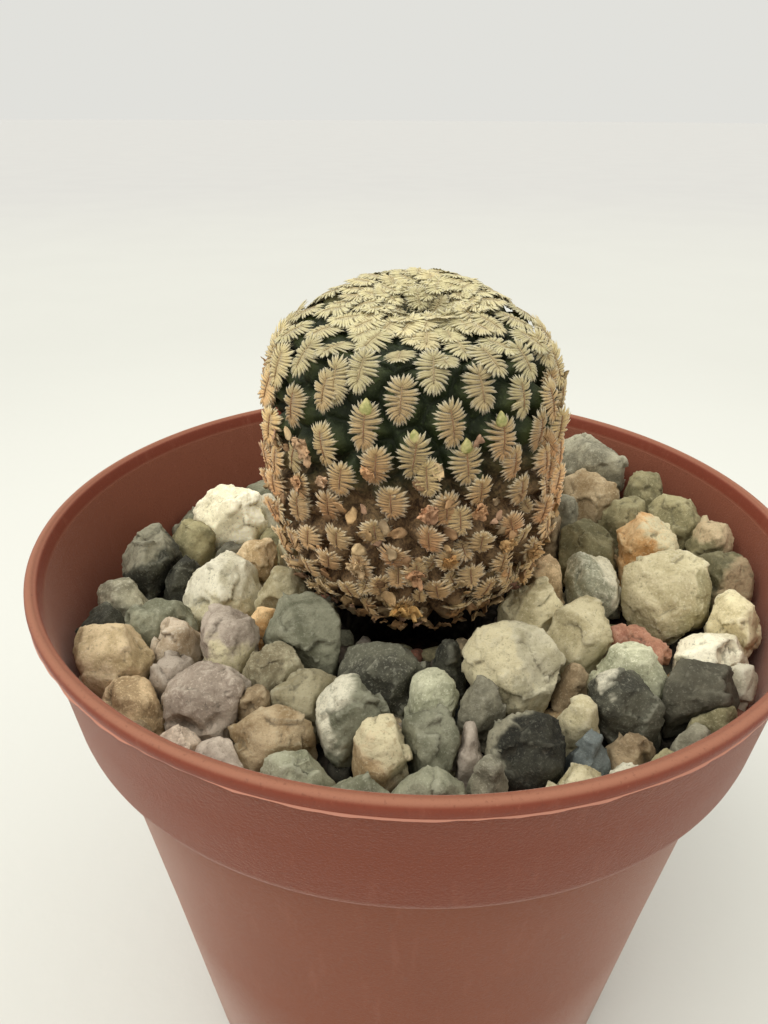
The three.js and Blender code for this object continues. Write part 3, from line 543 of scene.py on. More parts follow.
def skin_finish():
    f = Finish("cactus_skin", 0.5, Specular_IOR_Level=0.4)
    at = f.shifted((0, 0, -RIM))
    height = f.axis(at, (0, 0, 1))
    cloud = f.noise(at, 0.55, 4, 0.6)
    fine = f.noise(at, 3.5, 5, 0.7)
    tubercle = f.attribute("tubercle")["Fac"]
    # Lighter on the tubercles and darker in the valleys, on green and corky skin alike: the
    # lighter crests are partly the skin's own paler tips and partly a painted highlight, the
    # darker valleys a painted shade.
    green = f.mix(f.band(tubercle, 0.1, 0.8), "232c12", "525a2a")
    green = f.layered(green, (fine, (0.5, 0.8, 0, 0.5), "6f7f4c"))
    cork = f.mix(f.band(fine, 0.35, 0.65), "4a3727", "947651")
    cork = f.layered(cork, (tubercle, (0.2, 0.8, 0, 0.7), "ad916a"))
    uneven = f.sum(height, f.product(cloud, 6.0))
    base = f.mix(f.band(uneven, 7.0, 11.5), cork, green)
    # Above the shoulder the skin is painted pale cream: painted light, so that the shaded gaps
    # between the crown's combs read light.
    base = f.layered(base, (height, (14.8, 16.4), f.mix(fine, "a6996c", "cec294")))
    return f.close(base, f.bump(fine, 0.1), f.band(uneven, 8.0, 12.0, 0.9, 0.55))


# Combs. A row of flat spines is laid out straight, then bent onto each areole: first the brown
# midrib, then the cushion under the spines, then the spines of both sides.

SPINES_A_SIDE = 21
ROW_COUNT = 2 * SPINES_A_SIDE + 2
RIB_SHARE = 0.55
PAD_SHARE = 0.6
# Along a spine: share of its length, breadth and thickness.
SPINE_RINGS = ((0.0, 0.8, 0.9), (0.5, 1.25, 1.0), (0.8, 1.0, 0.8), (1.0, 0.0, 0.0))
# For the midrib, the cushion and a spine: half breadth and half thickness, and how high each lies.
HALF_BREADTHS = (0.06, 0.5, 0.11)
HALF_THICKNESSES = (0.05, 0.12, 0.045)
RISES = (0.05, -0.06, 0.0)
COMB_DEPTH = 0.12
# By areole age: uneven size, uneven turn, uneven reach of the spines, broken spines, arch.
SIZE_SPREAD = ((60, 130), (0.06, 0.14))
LOOSE_TURN = ((40, 90, 140, 244), (0.05, 0.08, 0.18, 0.26))
RAGGED_REACH = ((0, 60, 120, 244), (0.12, 0.15, 0.2, 0.3))
BROKEN_SHARE = ((80, 130, 244), (0.0, 0.06, 0.15))
ARCH = ((0, 12, 30, 60, 244), (0.06, 0.12, 0.25, 0.32, 0.34))
# By height over the rim: the cream of the spines, and how much pink lies over it.
CREAM_BY_HEIGHT = (
    (-8.0, "ccb080"), (-4.0, "d4b984"), (0.0, "c3aa7c"), (3.5, "bfa97b"), (6.5, "b4a374"),
    (9.0, "b2a678"), (13.0, "b0a57b"), (15.0, "bdb58b"), (17.5, "d5cd9f"),
)
PINK_BY_HEIGHT = ((-8, -4, 0, 3, 6, 8, 10, 12, 14),
                  (0.2, 0.3, 0.45, 0.8, 1.1, 1.05, 0.8, 0.5, 0.15))
PINK_SHARE = np.array((0.93, 0.53, 0.44))
# By distance from the apex: painted shade darkens the combs in the hollow of the crown, and the
# ring round it is painted a little lighter.
CRATER_SHADE_AND_LIGHT = ((0.0, 1.6, 2.5, 4.0, 6.0), (0.5, 0.66, 0.98, 1.04, 0.96))
# At the plant's two sides, from the first to the second cosine of the angle, the combs are larger,
# less arched and lifted, turned to the front, and painted paler and pinker: painted light that
# stands in for light shining through them.
SIDE = (0.8, 0.95)
SIDE_LARGER, SIDE_FLATTER, SIDE_LIFT = 0.1, 0.5, 0.1
SIDE_TURN = 0.38
SIDE_PAINTED_LIGHT, SIDE_PAINTED_PINK = 0.5, 0.1
# By areole age: the share of gaps between two areoles that hold a small comb of their own.
FILLING = ((0, 10, 20, 118, 130, 182, 190, 300), (1, 1, 0, 0, 0.35, 0.35, 0.8, 0.8))
FILLING_MOST = 0.9
FILLING_SIZE = 0.8
YOUNG = 60


def spine_row(count):
    """Flat tapered spines side by side: spine i runs along X from 2 i to 2 i + 1."""
    bm = bmesh.new()
    along_x = Matrix.Translation((0.5, 0, 0)) @ Matrix.Rotation(math.pi / 2, 4, "Y")
    ridge_up = Matrix.Rotation(math.pi / 2, 4, "Z")
    bmesh.ops.create_cone(bm, cap_ends=True, segments=3, radius1=1, radius2=0, depth=1,
                          matrix=along_x @ ridge_up)
    sides = [e for e in bm.edges if abs(e.verts[0].co.x - e.verts[1].co.x) > 0.5]
    bmesh.ops.subdivide_edges(bm, edges=sides, cuts=2)
    for vert in bm.verts:
        ring = round(3 * vert.co.x)
        out = Vector((0, vert.co.y, vert.co.z))
        if out.length > 0:
            out.normalize()
        x, breadth, thickness = SPINE_RINGS[ring]
        vert.co = (x, out.y * breadth, out.z * thickness)
    one = bm.verts[:] + bm.edges[:] + bm.faces[:]
    for i in range(1, count):
        copied = bmesh.ops.duplicate(bm, geom=one)["geom"]
        verts = [g for g in copied if isinstance(g, bmesh.types.BMVert)]
        bmesh.ops.translate(bm, verts=verts, vec=(2 * i, 0, 0))
    return bm


def row_mesh():
    """The straight row as a mesh, with each vertex's spine, share of its length and offsets."""
    mesh = mesh_of("spine_row", spine_row(ROW_COUNT))
    co = np.array([v.co for v in mesh.vertices])
    spine = np.floor(co[:, 0] / 2 + 1e-4).astype(int)
    return mesh, spine, co[:, 0] - 2 * spine, co[:, 1], co[:, 2]


ROW_MESH, ROW_SPINE, ROW_ALONG, ROW_BREADTH, ROW_THICK = row_mesh()
ROW_KIND = np.minimum(ROW_SPINE, 2)


def spine_lines(age, half_height, half_width, draw):
    """Roots, tips and bow of a comb's spines, across and down from the areole."""
    rib = RIB_SHARE * half_height
    pad = PAD_SHARE * half_height
    roots, tips, bows = [(0, -rib), (0, -pad)], [(0, rib * 1.1), (0, pad * 1.2)], [0, 0]
    shield = np.interp(age, *COMB_SHIELD)
    ragged = np.interp(age, *RAGGED_REACH)
    broken = np.interp(age, *BROKEN_SHARE)
    for side in (-1, 1):
        for i in range(SPINES_A_SIDE):
            turn = math.pi * (i + 0.5) / SPINES_A_SIDE + draw.gauss(0, 0.065)
            reach = 1 + draw.uniform(-ragged, 0.08)
            if draw.random() < broken:
                reach *= draw.uniform(0.45, 0.75)
            root = (0, -rib * math.cos(turn))
            wide = side * half_width * abs(math.sin(turn)) ** 0.85 * (1 + shield * math.cos(turn))
            low = -half_height * math.cos(turn)
            roots.append(root)
            tips.append((wide * reach, root[1] + (low - root[1]) * reach))
            bows.append(0.35 * half_height * math.cos(turn))
    return np.array(roots), np.array(tips), np.array(bows)


def areole_frame(s, angle, depth):
    """Middle of an areole with its directions across, down and out."""
    middle, out, down = on_skin(np.array([s, s, s + 0.05]), np.full(3, angle),
                                np.array([depth, depth - 1, depth]))
    out = out - middle
    down = down - middle
    out /= np.linalg.norm(out)
    down /= np.linalg.norm(down)
    across = np.cross(down, out)
    return middle, across / np.linalg.norm(across), down, out


def turned_frame(across, down, out, yaw, pitch, roll):
    """The same directions, yawed about out, pitched about across and rolled about down."""
    turn = (Matrix.Rotation(yaw, 3, Vector(out)) @ Matrix.Rotation(pitch, 3, Vector(across))
            @ Matrix.Rotation(roll, 3, Vector(down)))
    return [np.array(turn @ Vector(v)) for v in (across, down, out)]


def side_share(age, angle):
    """1 for combs at the plant's two sides below the crown, 0 at its front and back."""
    return smooth_step(abs(math.cos(angle)), *SIDE) * smooth_step(age, 35, 60)


def comb_colour(height, side, draw):
    """A comb's cream and its share of pink."""
    levels = [level for level, _ in CREAM_BY_HEIGHT]
    shades = np.array([colour(text) for _, text in CREAM_BY_HEIGHT])
    base = np.array([np.interp(height, levels, shades[:, i]) for i in range(3)])
    # At the sides the cream is painted paler and the pink stronger: painted light shining through
    # the combs.
    pink = np.interp(height, *PINK_BY_HEIGHT) * draw.uniform(0.3, 1.4) + SIDE_PAINTED_PINK * side
    return base * (1 + SIDE_PAINTED_LIGHT * side) * draw.gauss(1.0, 0.06), min(1.0, pink)


def bent_row(age, half_height, half_width, flatter, draw):
    """The row's places across and down from an areole, and how high they lie over it."""
    roots, tips, bows = spine_lines(age, half_height, half_width, draw)
    root, tip = roots[ROW_SPINE], tips[ROW_SPINE]
    line = tip - root
    length = np.linalg.norm(line, axis=1)[:, None]
    beside = np.stack([-line[:, 1], line[:, 0]], axis=1) / length
    breadth = np.choose(ROW_KIND, HALF_BREADTHS) * (half_width / 1.2)
    flat = root + line * ROW_ALONG[:, None] + beside * (ROW_BREADTH * breadth)[:, None]
    flat[:, 1] += bows[ROW_SPINE] * ROW_ALONG * (1 - ROW_ALONG)
    rise = np.choose(ROW_KIND, RISES) + ROW_THICK * np.choose(ROW_KIND, HALF_THICKNESSES)
    arch = np.interp(age, *ARCH) * (1 - flatter)
    tilt = np.array([draw.gauss(0.05, 0.05) for _ in range(ROW_COUNT)])
    rise = rise - arch * flat[:, 0] ** 2 - 0.5 * arch * flat[:, 1] ** 2
    rise = rise + np.where(ROW_KIND == 2, tilt[ROW_SPINE], 0) * ROW_ALONG
    return flat, rise


def add_comb(bm, place, draw, colours, alongs):
    """Bends a copy of the row onto the skin. A place is distance, angle, depth, age and size."""
    s, angle, sunk, age, size = place
    side = side_share(age, angle)
    size *= 1 + side * SIDE_LARGER
    spread = np.interp(age, *SIZE_SPREAD)
    half_height = size * np.interp(age, *COMB_HALF_HEIGHT) * (1 + draw.uniform(-spread, spread))
    half_width = size * np.interp(age, *COMB_HALF_WIDTH) * (1 + draw.uniform(-spread, spread))
    middle, across, down, out = areole_frame(s, angle, COMB_DEPTH + sunk - side * SIDE_LIFT)
    loose = np.interp(age, *LOOSE_TURN) + 0.5 * sunk
    yaw, pitch, roll = (draw.gauss(0, loose) for _ in range(3))
    roll += math.copysign(SIDE_TURN * side, math.cos(angle))
    across, down, out = turned_frame(across, down, out, yaw, pitch, roll)
    flat, rise = bent_row(age, half_height, half_width, side * SIDE_FLATTER, draw)
    bm.from_mesh(ROW_MESH)
    shade = np.array([draw.gauss(1, 0.05) for _ in range(ROW_COUNT)])[ROW_SPINE]
    cream, pink = comb_colour(float(crest_height(s)) - 3 * sunk, side, draw)
    # Painted shade in the crown's hollow and painted light on the ring round it.
    cream = cream * np.interp(s, *CRATER_SHADE_AND_LIGHT)
    low_end = np.clip(0.5 + 0.6 * flat[:, 1] / half_height, 0, 1)
    share = (pink * (0.5 + 0.5 * low_end) * (1 - 0.4 * ROW_ALONG))[:, None]
    tone = cream * (1 - 0.35 * sunk) * shade[:, None] * (1 - share + share * PINK_SHARE)
    colours.extend(tone.tolist())
    alongs.extend(np.choose(ROW_KIND, (-1.0, 0.0, ROW_ALONG)).tolist())
    return middle + flat[:, :1] * across + flat[:, 1:] * down + rise[:, None] * out


def comb_places(ages, draw):
    """Each areole's comb, and the spent or budding ones squeezed in between two areoles."""
    rows = []
    for age in ages:
        s, angle = AREOLE_PLACES[age]
        rows.append((s, angle, 0.0, age, 1.0))
        young = age < YOUNG
        for step in (8, 5) if young else (13,):
            wanted = np.interp(age, *FILLING)
            if side_share(age, angle) > 0.5 or (10 < age < 55 and math.sin(angle) > 0.5):
                wanted = FILLING_MOST
            if draw.random() > wanted or age + step >= AREOLES:
                continue
            next_s, next_angle = AREOLE_PLACES[age + step]
            turn = (next_angle - angle + math.pi) % (2 * math.pi) - math.pi
            sunk = 0.06 if young else draw.uniform(0.25, 0.55)
            size = 1.0 if young else FILLING_SIZE * draw.uniform(0.7, 1.1)
            rows.append(((s + next_s) / 2, angle + turn / 2, sunk, age, size))
    return rows


def combs_shape(ages, seed):
    bm = bmesh.new()
    draw = random.Random(seed)
    colours, alongs, places = [], [], []
    for place in comb_places(ages, draw):
        places.append(add_comb(bm, place, draw, colours, alongs))
    set_places(bm, np.vstack(places))
    paint(bm, "tone", colours)
    note(bm, "along", alongs)
    return bm


def comb_finish():
    f = Finish("comb_spines", 0.6, Specular_IOR_Level=0.3, Sheen_Weight=0.5, Sheen_Roughness=0.3,
               Sheen_Tint=(1.0, 0.9, 0.74, 1.0))
    at = f.shifted((0, 0, -RIM))
    tone = f.attribute("tone")["Color"]
    along = f.attribute("along")["Fac"]
    fine = f.noise(at, 2.6, 4, 0.65)
    base = f.layered(tone, (along, (0.0, 0.4, 0.3, 0.0), "a08a62"),
                     (along, (0.6, 1.0, 0.0, 0.45), "e4dfc8"),
                     (fine, (0.55, 0.75, 0.0, 0.3), "937a55"))
    rib = f.product(f.band(along, -0.6, -0.2, 0.8, 0.0),
                    f.band(f.axis(at, (0, 0, 1)), 10.0, 14.5, 1.0, 0.3))
    base = f.mix(rib, base, "7d5235")
    return f.close(base, f.bump(fine, 0.03))


# Crown wool: short hairs in the dimple.

WOOL_HAIRS = 1000
WOOL_REACH = 1.5
WOOL_SEED = 5


def wool_shape():
    bm = bmesh.new()
    draw = random.Random(WOOL_SEED)
    shades = []
    for _ in range(WOOL_HAIRS):
        s = abs(draw.gauss(0, WOOL_REACH))
        angle = draw.uniform(0, 2 * math.pi)
        middle, across, down, out = areole_frame(max(0.05, s), angle, 0.25)
        lean = draw.uniform(0, 2 * math.pi)
        side = math.cos(lean) * across + math.sin(lean) * down
        length = draw.uniform(0.25, 0.65)
        up = Vector(out * draw.uniform(0.35, 0.9) + side * draw.uniform(0.4, 1.0)).normalized()
        place = Matrix.Translation(Vector(middle) + up * length / 2)
        place = place @ up.to_track_quat("Z", "Y").to_matrix().to_4x4()
        made = bmesh.ops.create_cone(bm, cap_ends=True, segments=3, radius1=0.035, radius2=0.01,
                                     depth=length, matrix=place)
        shade = draw.uniform(0.75, 1.1)
        shades.extend([shade] * len(made["verts"]))
    note(bm, "shade", shades)
    return bm


def wool_finish():
    f = Finish("crown_wool", 0.9, Sheen_Weight=0.3)
    base = f.mix(f.band(f.attribute("shade")["Fac"], 0.7, 1.1), "8a7c54", "bfb388")
    fine = f.noise(f.shifted(), 3.0, 3)
    return f.close(f.layered(base, (fine, (0.5, 0.8, 0, 0.4), "7d7048")))


# Dried flowers and husks: crumpled papery flakes.

FLAKE_HALF_THICKNESS = 0.04
FLAKES_A_FLOWER = 6
FLOWER_SIZE = 1.3
FLOWER_SEED = 11
HUSK_SEED = 17
# Distance, angle in degrees, length, spread, lift, colour.
DRIED_FLOWERS = (
    (13.3, -172, 1.3, 0.4, -0.1, "b08c60"),
    (13.7, -9, 1.0, 0.4, -0.1, "a8946a"),
    (16.3, -131, 1.1, 0.8, 0.1, "c4a07a"),
    (18.8, -134, 0.8, 0.7, 0.15, "c49a70"),
    (18.0, -122, 0.7, 0.6, 0.15, "d0ac88"),
    (16.9, -104, 0.7, 0.4, 0.1, "c2966a"),
    (19.4, -84, 0.9, 0.7, 0.15, "c89a74"),
    (19.6, -67, 0.9, 0.7, 0.1, "b68c64"),
    (22.9, -77, 1.0, 0.7, 0.2, "c8985c"),
    (23.8, -109, 1.1, 0.7, 0.15, "c8ac82"),
    (23.9, -89, 1.0, 0.7, 0.15, "bc9068"),
    (27.2, -93, 1.5, 0.8, 0.2, "caa162"),
    (22.6, -55, 1.0, 0.6, 0.2, "c09a66"),
    (24.2, -39, 1.0, 0.6, 0.2, "caa26c"),
)
HUSKS = 420
HUSK_FROM = 15.0
HUSK_COLOURS = ("bb9a6c", "ab865c", "c9ae82", "94724e", "bc9060", "a8906c", "bc9678")
GREEN_TIPS = (80, 83, 88, 96)


def flake(bm, tones, middle, along, out, length, breadth, curl, tone, seed, detail=2):
    """A crumpled leaf of dry skin that runs from middle along one way and curls out."""
    side = np.cross(out, along)
    shift = own_shift(seed, (1.37, 0.71, 0.39), 60)
    for vert in ball(bm, detail):
        p = vert.co.copy()
        t = (p.x + 1) / 2
        flat = Vector((p.x, p.y, 0)) * 1.7 + shift
        rim = Vector((p.x, p.y, 0)).normalized() * 1.6 + shift
        ragged = 1 + 0.5 * noise.noise(rim) + 0.4 * noise.noise(rim * 2.7)
        crease = 0.3 * length * noise.noise(flat) + 0.1 * noise.noise(flat * 3)
        wide = p.y * breadth * ragged
        t = 0.5 + (t - 0.5) * ragged
        rise = p.z * FLAKE_HALF_THICKNESS + crease + curl * t * t
        vert.co = Vector(middle + along * length * t + side * wide + out * rise)
        tones.append(tone * (0.8 + 0.4 * t))


def dry_frame(s, angle, depth, turn, lift):
    """Middle, run and out of a flake that lies turned and lifted on the skin."""
    middle, across, down, out = areole_frame(s, angle, depth)
    along = math.cos(turn) * down + math.sin(turn) * across
    run = math.cos(lift) * along + math.sin(lift) * out
    return middle, run, math.cos(lift) * out - math.sin(lift) * along


def dried_flowers_shape():
    bm = bmesh.new()
    draw = random.Random(FLOWER_SEED)
    tones = []
    for number, (s, degrees, length, spread, lift, text) in enumerate(DRIED_FLOWERS):
        tone = np.array(colour(text))
        for i in range(FLAKES_A_FLOWER):
            turn = math.pi + draw.gauss(0, spread) + (i - 2) * spread * 0.6
            middle, run, out = dry_frame(s, math.radians(degrees), 0.1 - lift, turn,
                                         draw.uniform(0.0, 0.4 + lift))
            size = FLOWER_SIZE * length * draw.uniform(0.7, 1.1)
            flake(bm, tones, middle - run * 0.3 * size, run, out, size, size * 0.3,
                  draw.uniform(-0.2, 0.35), tone * draw.uniform(0.75, 1.2), number * 9 + i, 3)
    paint(bm, "tone", tones)
    return bm


def husks_shape():
    """Shreds of dry skin and old flowers caught between the older combs."""
    bm = bmesh.new()
    draw = random.Random(HUSK_SEED)
    tones = []
    for number in range(HUSKS):
        s = draw.uniform(HUSK_FROM, CREST_LENGTH - 0.6)
        if draw.random() > (s - HUSK_FROM) / (CREST_LENGTH - HUSK_FROM) + 0.25:
            continue
        middle, run, out = dry_frame(s, draw.uniform(0, 2 * math.pi), draw.uniform(0.0, 0.5),
                                     draw.uniform(0, 2 * math.pi), draw.uniform(0.0, 0.5))
        tone = np.array(colour(draw.choice(HUSK_COLOURS))) * draw.uniform(0.8, 1.15)
        size = draw.uniform(0.5, 1.3)
        flake(bm, tones, middle, run, out, size, size * draw.uniform(0.25, 0.5),
              draw.uniform(-0.2, 0.3), tone, number)
    paint(bm, "tone", tones)
    return bm


def dried_finish():
    f = Finish("dried_flower", 0.75)
    at = f.shifted()
    fine = f.noise(at, 2.4, 5, 0.7)
    base = f.layered(f.attribute("tone")["Color"], (fine, (0.42, 0.72, 0.0, 0.35), "6a4a30"),
                     (f.noise(at, 5.0, 3), (0.55, 0.75, 0.0, 0.4), "d9b98a"))
    return f.close(base, f.bump(fine, 0.06))


def green_tips_shape():
    """Bare yellow-green noses of a few tubercles, above their combs."""
    bm = bmesh.new()
    for age in GREEN_TIPS:
        s, angle = AREOLE_PLACES[age]
        above = s - 0.8 * np.interp(age, *COMB_HALF_HEIGHT)
        middle, across, down, out = areole_frame(above, angle, 0.35)
        for vert in ball(bm, 3):
            p = vert.co
            lump = 1 + 0.15 * noise.noise(p * 1.3 + Vector((age, 0, 0)))
            wide = 0.36 * (1 + 0.45 * p.y) * p.x
            vert.co = Vector(middle + lump * (wide * across + 0.5 * p.y * down + 0.24 * p.z * out))
    return bm


def green_tips_finish():
    f = Finish("young_skin", 0.45, Specular_IOR_Level=0.4)
    at = f.shifted((0, 0, -RIM))
    fine = f.noise(at, 2.2, 4, 0.65)
    base = f.mix(f.band(fine, 0.35, 0.65), "8d8f50", "c2b87c")
    return f.close(base, f.bump(fine, 0.04))


# Stones. Each takes its place and rough form from the CAD, then is weathered.

STONE_CELL = 0.21
BEDDED_CELL = 0.25
# Light, dark, dust.
STONE_COLOURS = {
    "white": ("d6d0b8", "b8b196", "e2dcc6"), "cream": ("cfc49f", "a99d78", "ddd5b8"),
    "tan": ("c6b08c", "9c8460", "d6c8a8"), "brown": ("a99474", "7c694e", "bfae8e"),
    "olive": ("9d946f", "716b4d", "b6ae8c"), "green": ("96957d", "6e6e58", "b6b49e"),
    "grey": ("96917b", "6a6655", "b5b09b"), "slate": ("504f42", "33322a", "8b8978"),
    "mauve": ("b0a393", "86796b", "c4b8a6"), "orange": ("d2b284", "b48652", "dcc8a0"),
    "red": ("b5846a", "8f5f4c", "cfa890"), "blue": ("6a706c", "4b5150", "8c938e"),
}
# By number: how much lighter a stone is than its kind, or how much of each primary it has.
STONE_SHADES = {
    1: 1.85, 2: 1.1, 3: 1.9, 5: (1.08, 0.95, 0.9), 6: 1.18, 8: 1.2, 9: 0.6, 10: 1.5, 11: 0.85,
    13: (1.05, 1.12, 1.35), 14: 1.15, 16: (1.0, 1.18, 1.28), 17: 0.78, 18: 1.4, 19: 1.6, 20: 2.0,
    21: 1.25, 22: 0.56, 23: 0.72, 25: (2.0, 1.95, 1.9), 26: 1.35, 27: 0.85, 28: 1.25, 30: 1.4,
    34: 1.25, 36: 1.2, 37: 1.1, 38: 0.84, 39: 0.66, 40: 1.18, 41: 2.2, 42: 1.15,
    44: (0.85, 0.83, 0.76), 46: 2.1, 47: 1.4, 48: 1.45, 49: 1.3, 50: 0.48, 51: 1.75, 52: 0.85,
    53: 0.78, 54: 0.55,
}
# A slab: the side its flat face turns to, and how far that face lies from its middle.
SLABS = {45: ((0.3, -0.15, 0.94), 0.25)}
STONE_CUTS = 12
STONE_BITES = 2
STONE_LUMPS = 0.12
STONE_LEDGES = 0.68
STONE_GRIT = 0.07
# Stones of two colours: the second colour, the side it lies on and how far it reaches in.
TWO_TONE = {
    2: ("grey", (-0.6, 0.2, 0.8), 0.9), 5: ("tan", (0.3, -0.6, -0.7), 0.2),
    6: ("cream", (0.1, -0.6, -0.8), 0.9), 14: ("cream", (0.2, -0.8, -0.5), 0.4),
    23: ("white", (-0.9, 0.0, 0.3), 1.5), 24: ("cream", (0.6, 0.3, 0.5), 0.3),
    35: ("tan", (0.3, 0.2, 0.9), 0.5), 36: ("cream", (0.9, -0.3, 0.2), 0.5),
    37: ("olive", (0.8, -0.5, -0.4), 1.4), 39: ("brown", (0.6, -0.6, 0.1), 0.6),
    40: ("green", (-0.9, -0.2, 0.0), 0.0), 44: ("cream", (-0.9, 0.0, -0.3), -0.6),
    49: ("white", (-0.8, 0.1, 0.6), 2.4), 54: ("grey", (-0.8, 0.4, 0.4), 1.0),
}


def chipped(bm, draw, slab=None):
    """A stone with some of its corners broken off along flat faces."""
    middle = sum((v.co for v in bm.verts), Vector()) / len(bm.verts)
    cuts = [(Vector([draw.gauss(0, 1) for _ in range(3)]).normalized(), draw.uniform(0.76, 0.94))
            for _ in range(STONE_CUTS)]
    if slab:
        cuts.append((Vector(slab[0]).normalized(), slab[1]))
    for way, share in cuts:
        reach = max((v.co - middle).dot(way) for v in bm.verts)
        cut_flat(bm, middle + way * reach * share, way, clear_outer=True)
    return bm


def bitten(bm, draw):
    """Shallow shell-shaped hollows where flakes have come off a stone's sides."""
    places = np.array([v.co for v in bm.verts])
    middle = places.mean(axis=0)
    girth = np.linalg.norm(places - middle, axis=1).mean()
    for _ in range(STONE_BITES):
        start = places[draw.randrange(len(places))]
        way = (start - middle) / np.linalg.norm(start - middle)
        radius = girth * draw.uniform(0.5, 1.0)
        centre = start + way * radius * draw.uniform(0.72, 0.86)
        off = places - centre
        length = np.linalg.norm(off, axis=1)
        near = length < radius
        places[near] = centre + off[near] * (radius / length[near])[:, None]
    set_places(bm, places)
    return bm


def weathered(bm, seed):
    """Takes the sharpness off a stone's edges and gives its faces lumps, ledges and grit."""
    soften(bm, 0.25)
    bm.normal_update()
    shift = own_shift(seed, (7.31, 3.77, 5.13), 50)
    places = []
    for vert in bm.verts:
        p = vert.co + shift
        facet = noise.voronoi(p * 0.5)[1][0]
        lean = Vector([noise.noise(facet * turn) for turn in (5.3, 7.9, 3.1)])
        move = STONE_LUMPS * noise.fractal(p * 0.4, 0.9, 2.0, 2)
        move += STONE_LEDGES * (p * 0.5 - facet).dot(lean)
        move += STONE_GRIT * noise.fractal(p * 2.2, 0.5, 2.0, 3)
        places.append(vert.co + vert.normal * move)
    set_places(bm, places)
    mark_edges(bm)
    return bm


def mark_edges(bm):
    """Notes on each vertex how far it stands out of the smoothed shape, for paler edges and darker
    hollows.
    """
    before = [v.co.copy() for v in bm.verts]
    for _ in range(3):
        soften(bm, 0.5)
    bm.normal_update()
    proud = [(old - v.co).dot(v.normal) / STONE_CELL for v, old in zip(bm.verts, before)]
    set_places(bm, before)
    note(bm, "edge", proud)


def stone_finish(name, kind, seed, middle=(0, 0, 0), second=None):
    shade = STONE_SHADES.get(seed, 1.0)
    light, dark, dust = ([*np.multiply(colour(text)[:3], shade), 1.0]
                         for text in STONE_COLOURS[kind])
    f = Finish(name, 0.85, Specular_IOR_Level=0.25)
    at = f.shifted(own_shift(seed, (3.1, 5.7, 1.9), 20))
    cloud = f.noise(at, 0.32, 3, 0.6, 0.6)
    mottle = f.noise(at, 1.1, 5, 0.7, 0.3)
    speck = f.noise(at, 2.8, 4, 0.75)
    grit = f.noise(at, 6.0, 4, 0.75)
    edge = f.attribute("edge")["Fac"]
    base = f.mix(f.band(cloud, 0.38, 0.62), dark, light)
    if second:
        other, side, start = second
        along = f.sum(f.axis(f.shifted([-m / MM for m in middle]), side),
                      f.product(f.sum(cloud, -0.5), 5.0))
        base = f.layered(base, (along, (start - 0.35, start + 0.35), STONE_COLOURS[other][0]))
    base = f.layered(base, (mottle, (0.5, 0.68, 0.0, 0.55), light),
                     (mottle, (0.32, 0.46, 0.55, 0.0), dark),
                     (speck, (0.56, 0.68, 0.0, 0.45), dust),
                     (speck, (0.3, 0.42, 0.4, 0.0), "4a463c"),
                     (grit, (0.56, 0.66, 0.0, 0.5), dust),
                     (grit, (0.33, 0.44, 0.4, 0.0), "4f4a3d"),
                     (edge, (0.08, 0.5, 0.0, 0.35), dust),
                     (edge, (-0.4, -0.05, 0.45, 0.0), "4f4a3e"))
    relief = f.sum(f.sum(mottle, f.product(speck, 0.5)), f.product(grit, 0.25))
    return f.close(base, f.bump(relief, 0.14))


def stone_nodes():
    return sorted(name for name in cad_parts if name.startswith("stone_"))


def free_stones():
    """The loose stones, chipped, bitten and weathered, each in its own colours."""
    for node in stone_nodes():
        _, number, kind = node.split("_")
        seed = int(number)
        middle = [(low + high) / 2 for low, high in zip(*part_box(node))]
        draw = random.Random(seed)
        shape = even_net(chipped(cad_shape(node), draw, SLABS.get(seed)), STONE_CELL)
        shape = weathered(bitten(shape, draw), seed)
        finish = stone_finish(node, kind, seed, middle, TWO_TONE.get(seed))
        finish_piece(f"{node}_weathered", shape, finish, [node], recalc=False)


# Gravel bed: the bedded stones cut free from the CAD bed, a rubble floor, and loose grit.

BED_TOP = 38.8
BED_SLOPE = 0.22
BED_SLOPE_START = 6.0
BED_SLOPE_TURN = math.radians(35)
SLOPE_NORMAL = Vector((-BED_SLOPE * math.cos(BED_SLOPE_TURN),
                       -BED_SLOPE * math.sin(BED_SLOPE_TURN), 1))
SCRAP_FACES = 6
BEDDED_SEED = 100
BEDDED_PATTERN = 61


def bed_height(x, y):
    along = x * math.cos(BED_SLOPE_TURN) + y * math.sin(BED_SLOPE_TURN)
    return BED_TOP + max(0.0, BED_SLOPE * (along - BED_SLOPE_START))


def bedded_lumps():
    """The stones that stand out of the CAD bed, each as its own closed shape."""
    bm = cad_shape("gravel_bed")
    start = BED_TOP - BED_SLOPE * BED_SLOPE_START
    for height, way in ((BED_TOP, (0, 0, 1)), (start, SLOPE_NORMAL)):
        cut_flat(bm, (0, 0, height + 0.02), way, clear_inner=True)
    bm.verts.index_update()
    bm.faces.index_update()
    shapes, seen = [], set()
    for vert in bm.verts:
        if vert in seen:
            continue
        lump = near = {vert}
        while near:
            near = {e.other_vert(v) for v in near for e in v.link_edges} - lump
            lump = lump | near
        seen |= lump
        faces = {f for v in lump for f in v.link_faces}
        if len(faces) <= SCRAP_FACES:
            continue
        one = bmesh.new()
        names = {v: one.verts.new(v.co) for v in sorted(lump, key=lambda v: v.index)}
        for face in sorted(faces, key=lambda f: f.index):
            one.faces.new([names[v] for v in face.verts])
        shapes.append(one)
    bm.free()
    return shapes


BEDDED_KINDS = ("grey", "olive", "green", "cream", "mauve", "brown", "grey", "tan", "white",
                "slate")
# Bedded stones whose colour shows in the photo: across, back, kind.
BEDDED_SPOTS = (
    (2.5, -9.1, "slate"), (10.5, -11.4, "brown"), (10.3, -15.0, "cream"), (18.7, -15.1, "olive"),
    (-16.5, -17.6, "brown"), (12.9, -17.2, "brown"), (10.4, -17.7, "blue"), (14.6, -18.9, "olive"),
    (4.2, -20.6, "grey"),
)


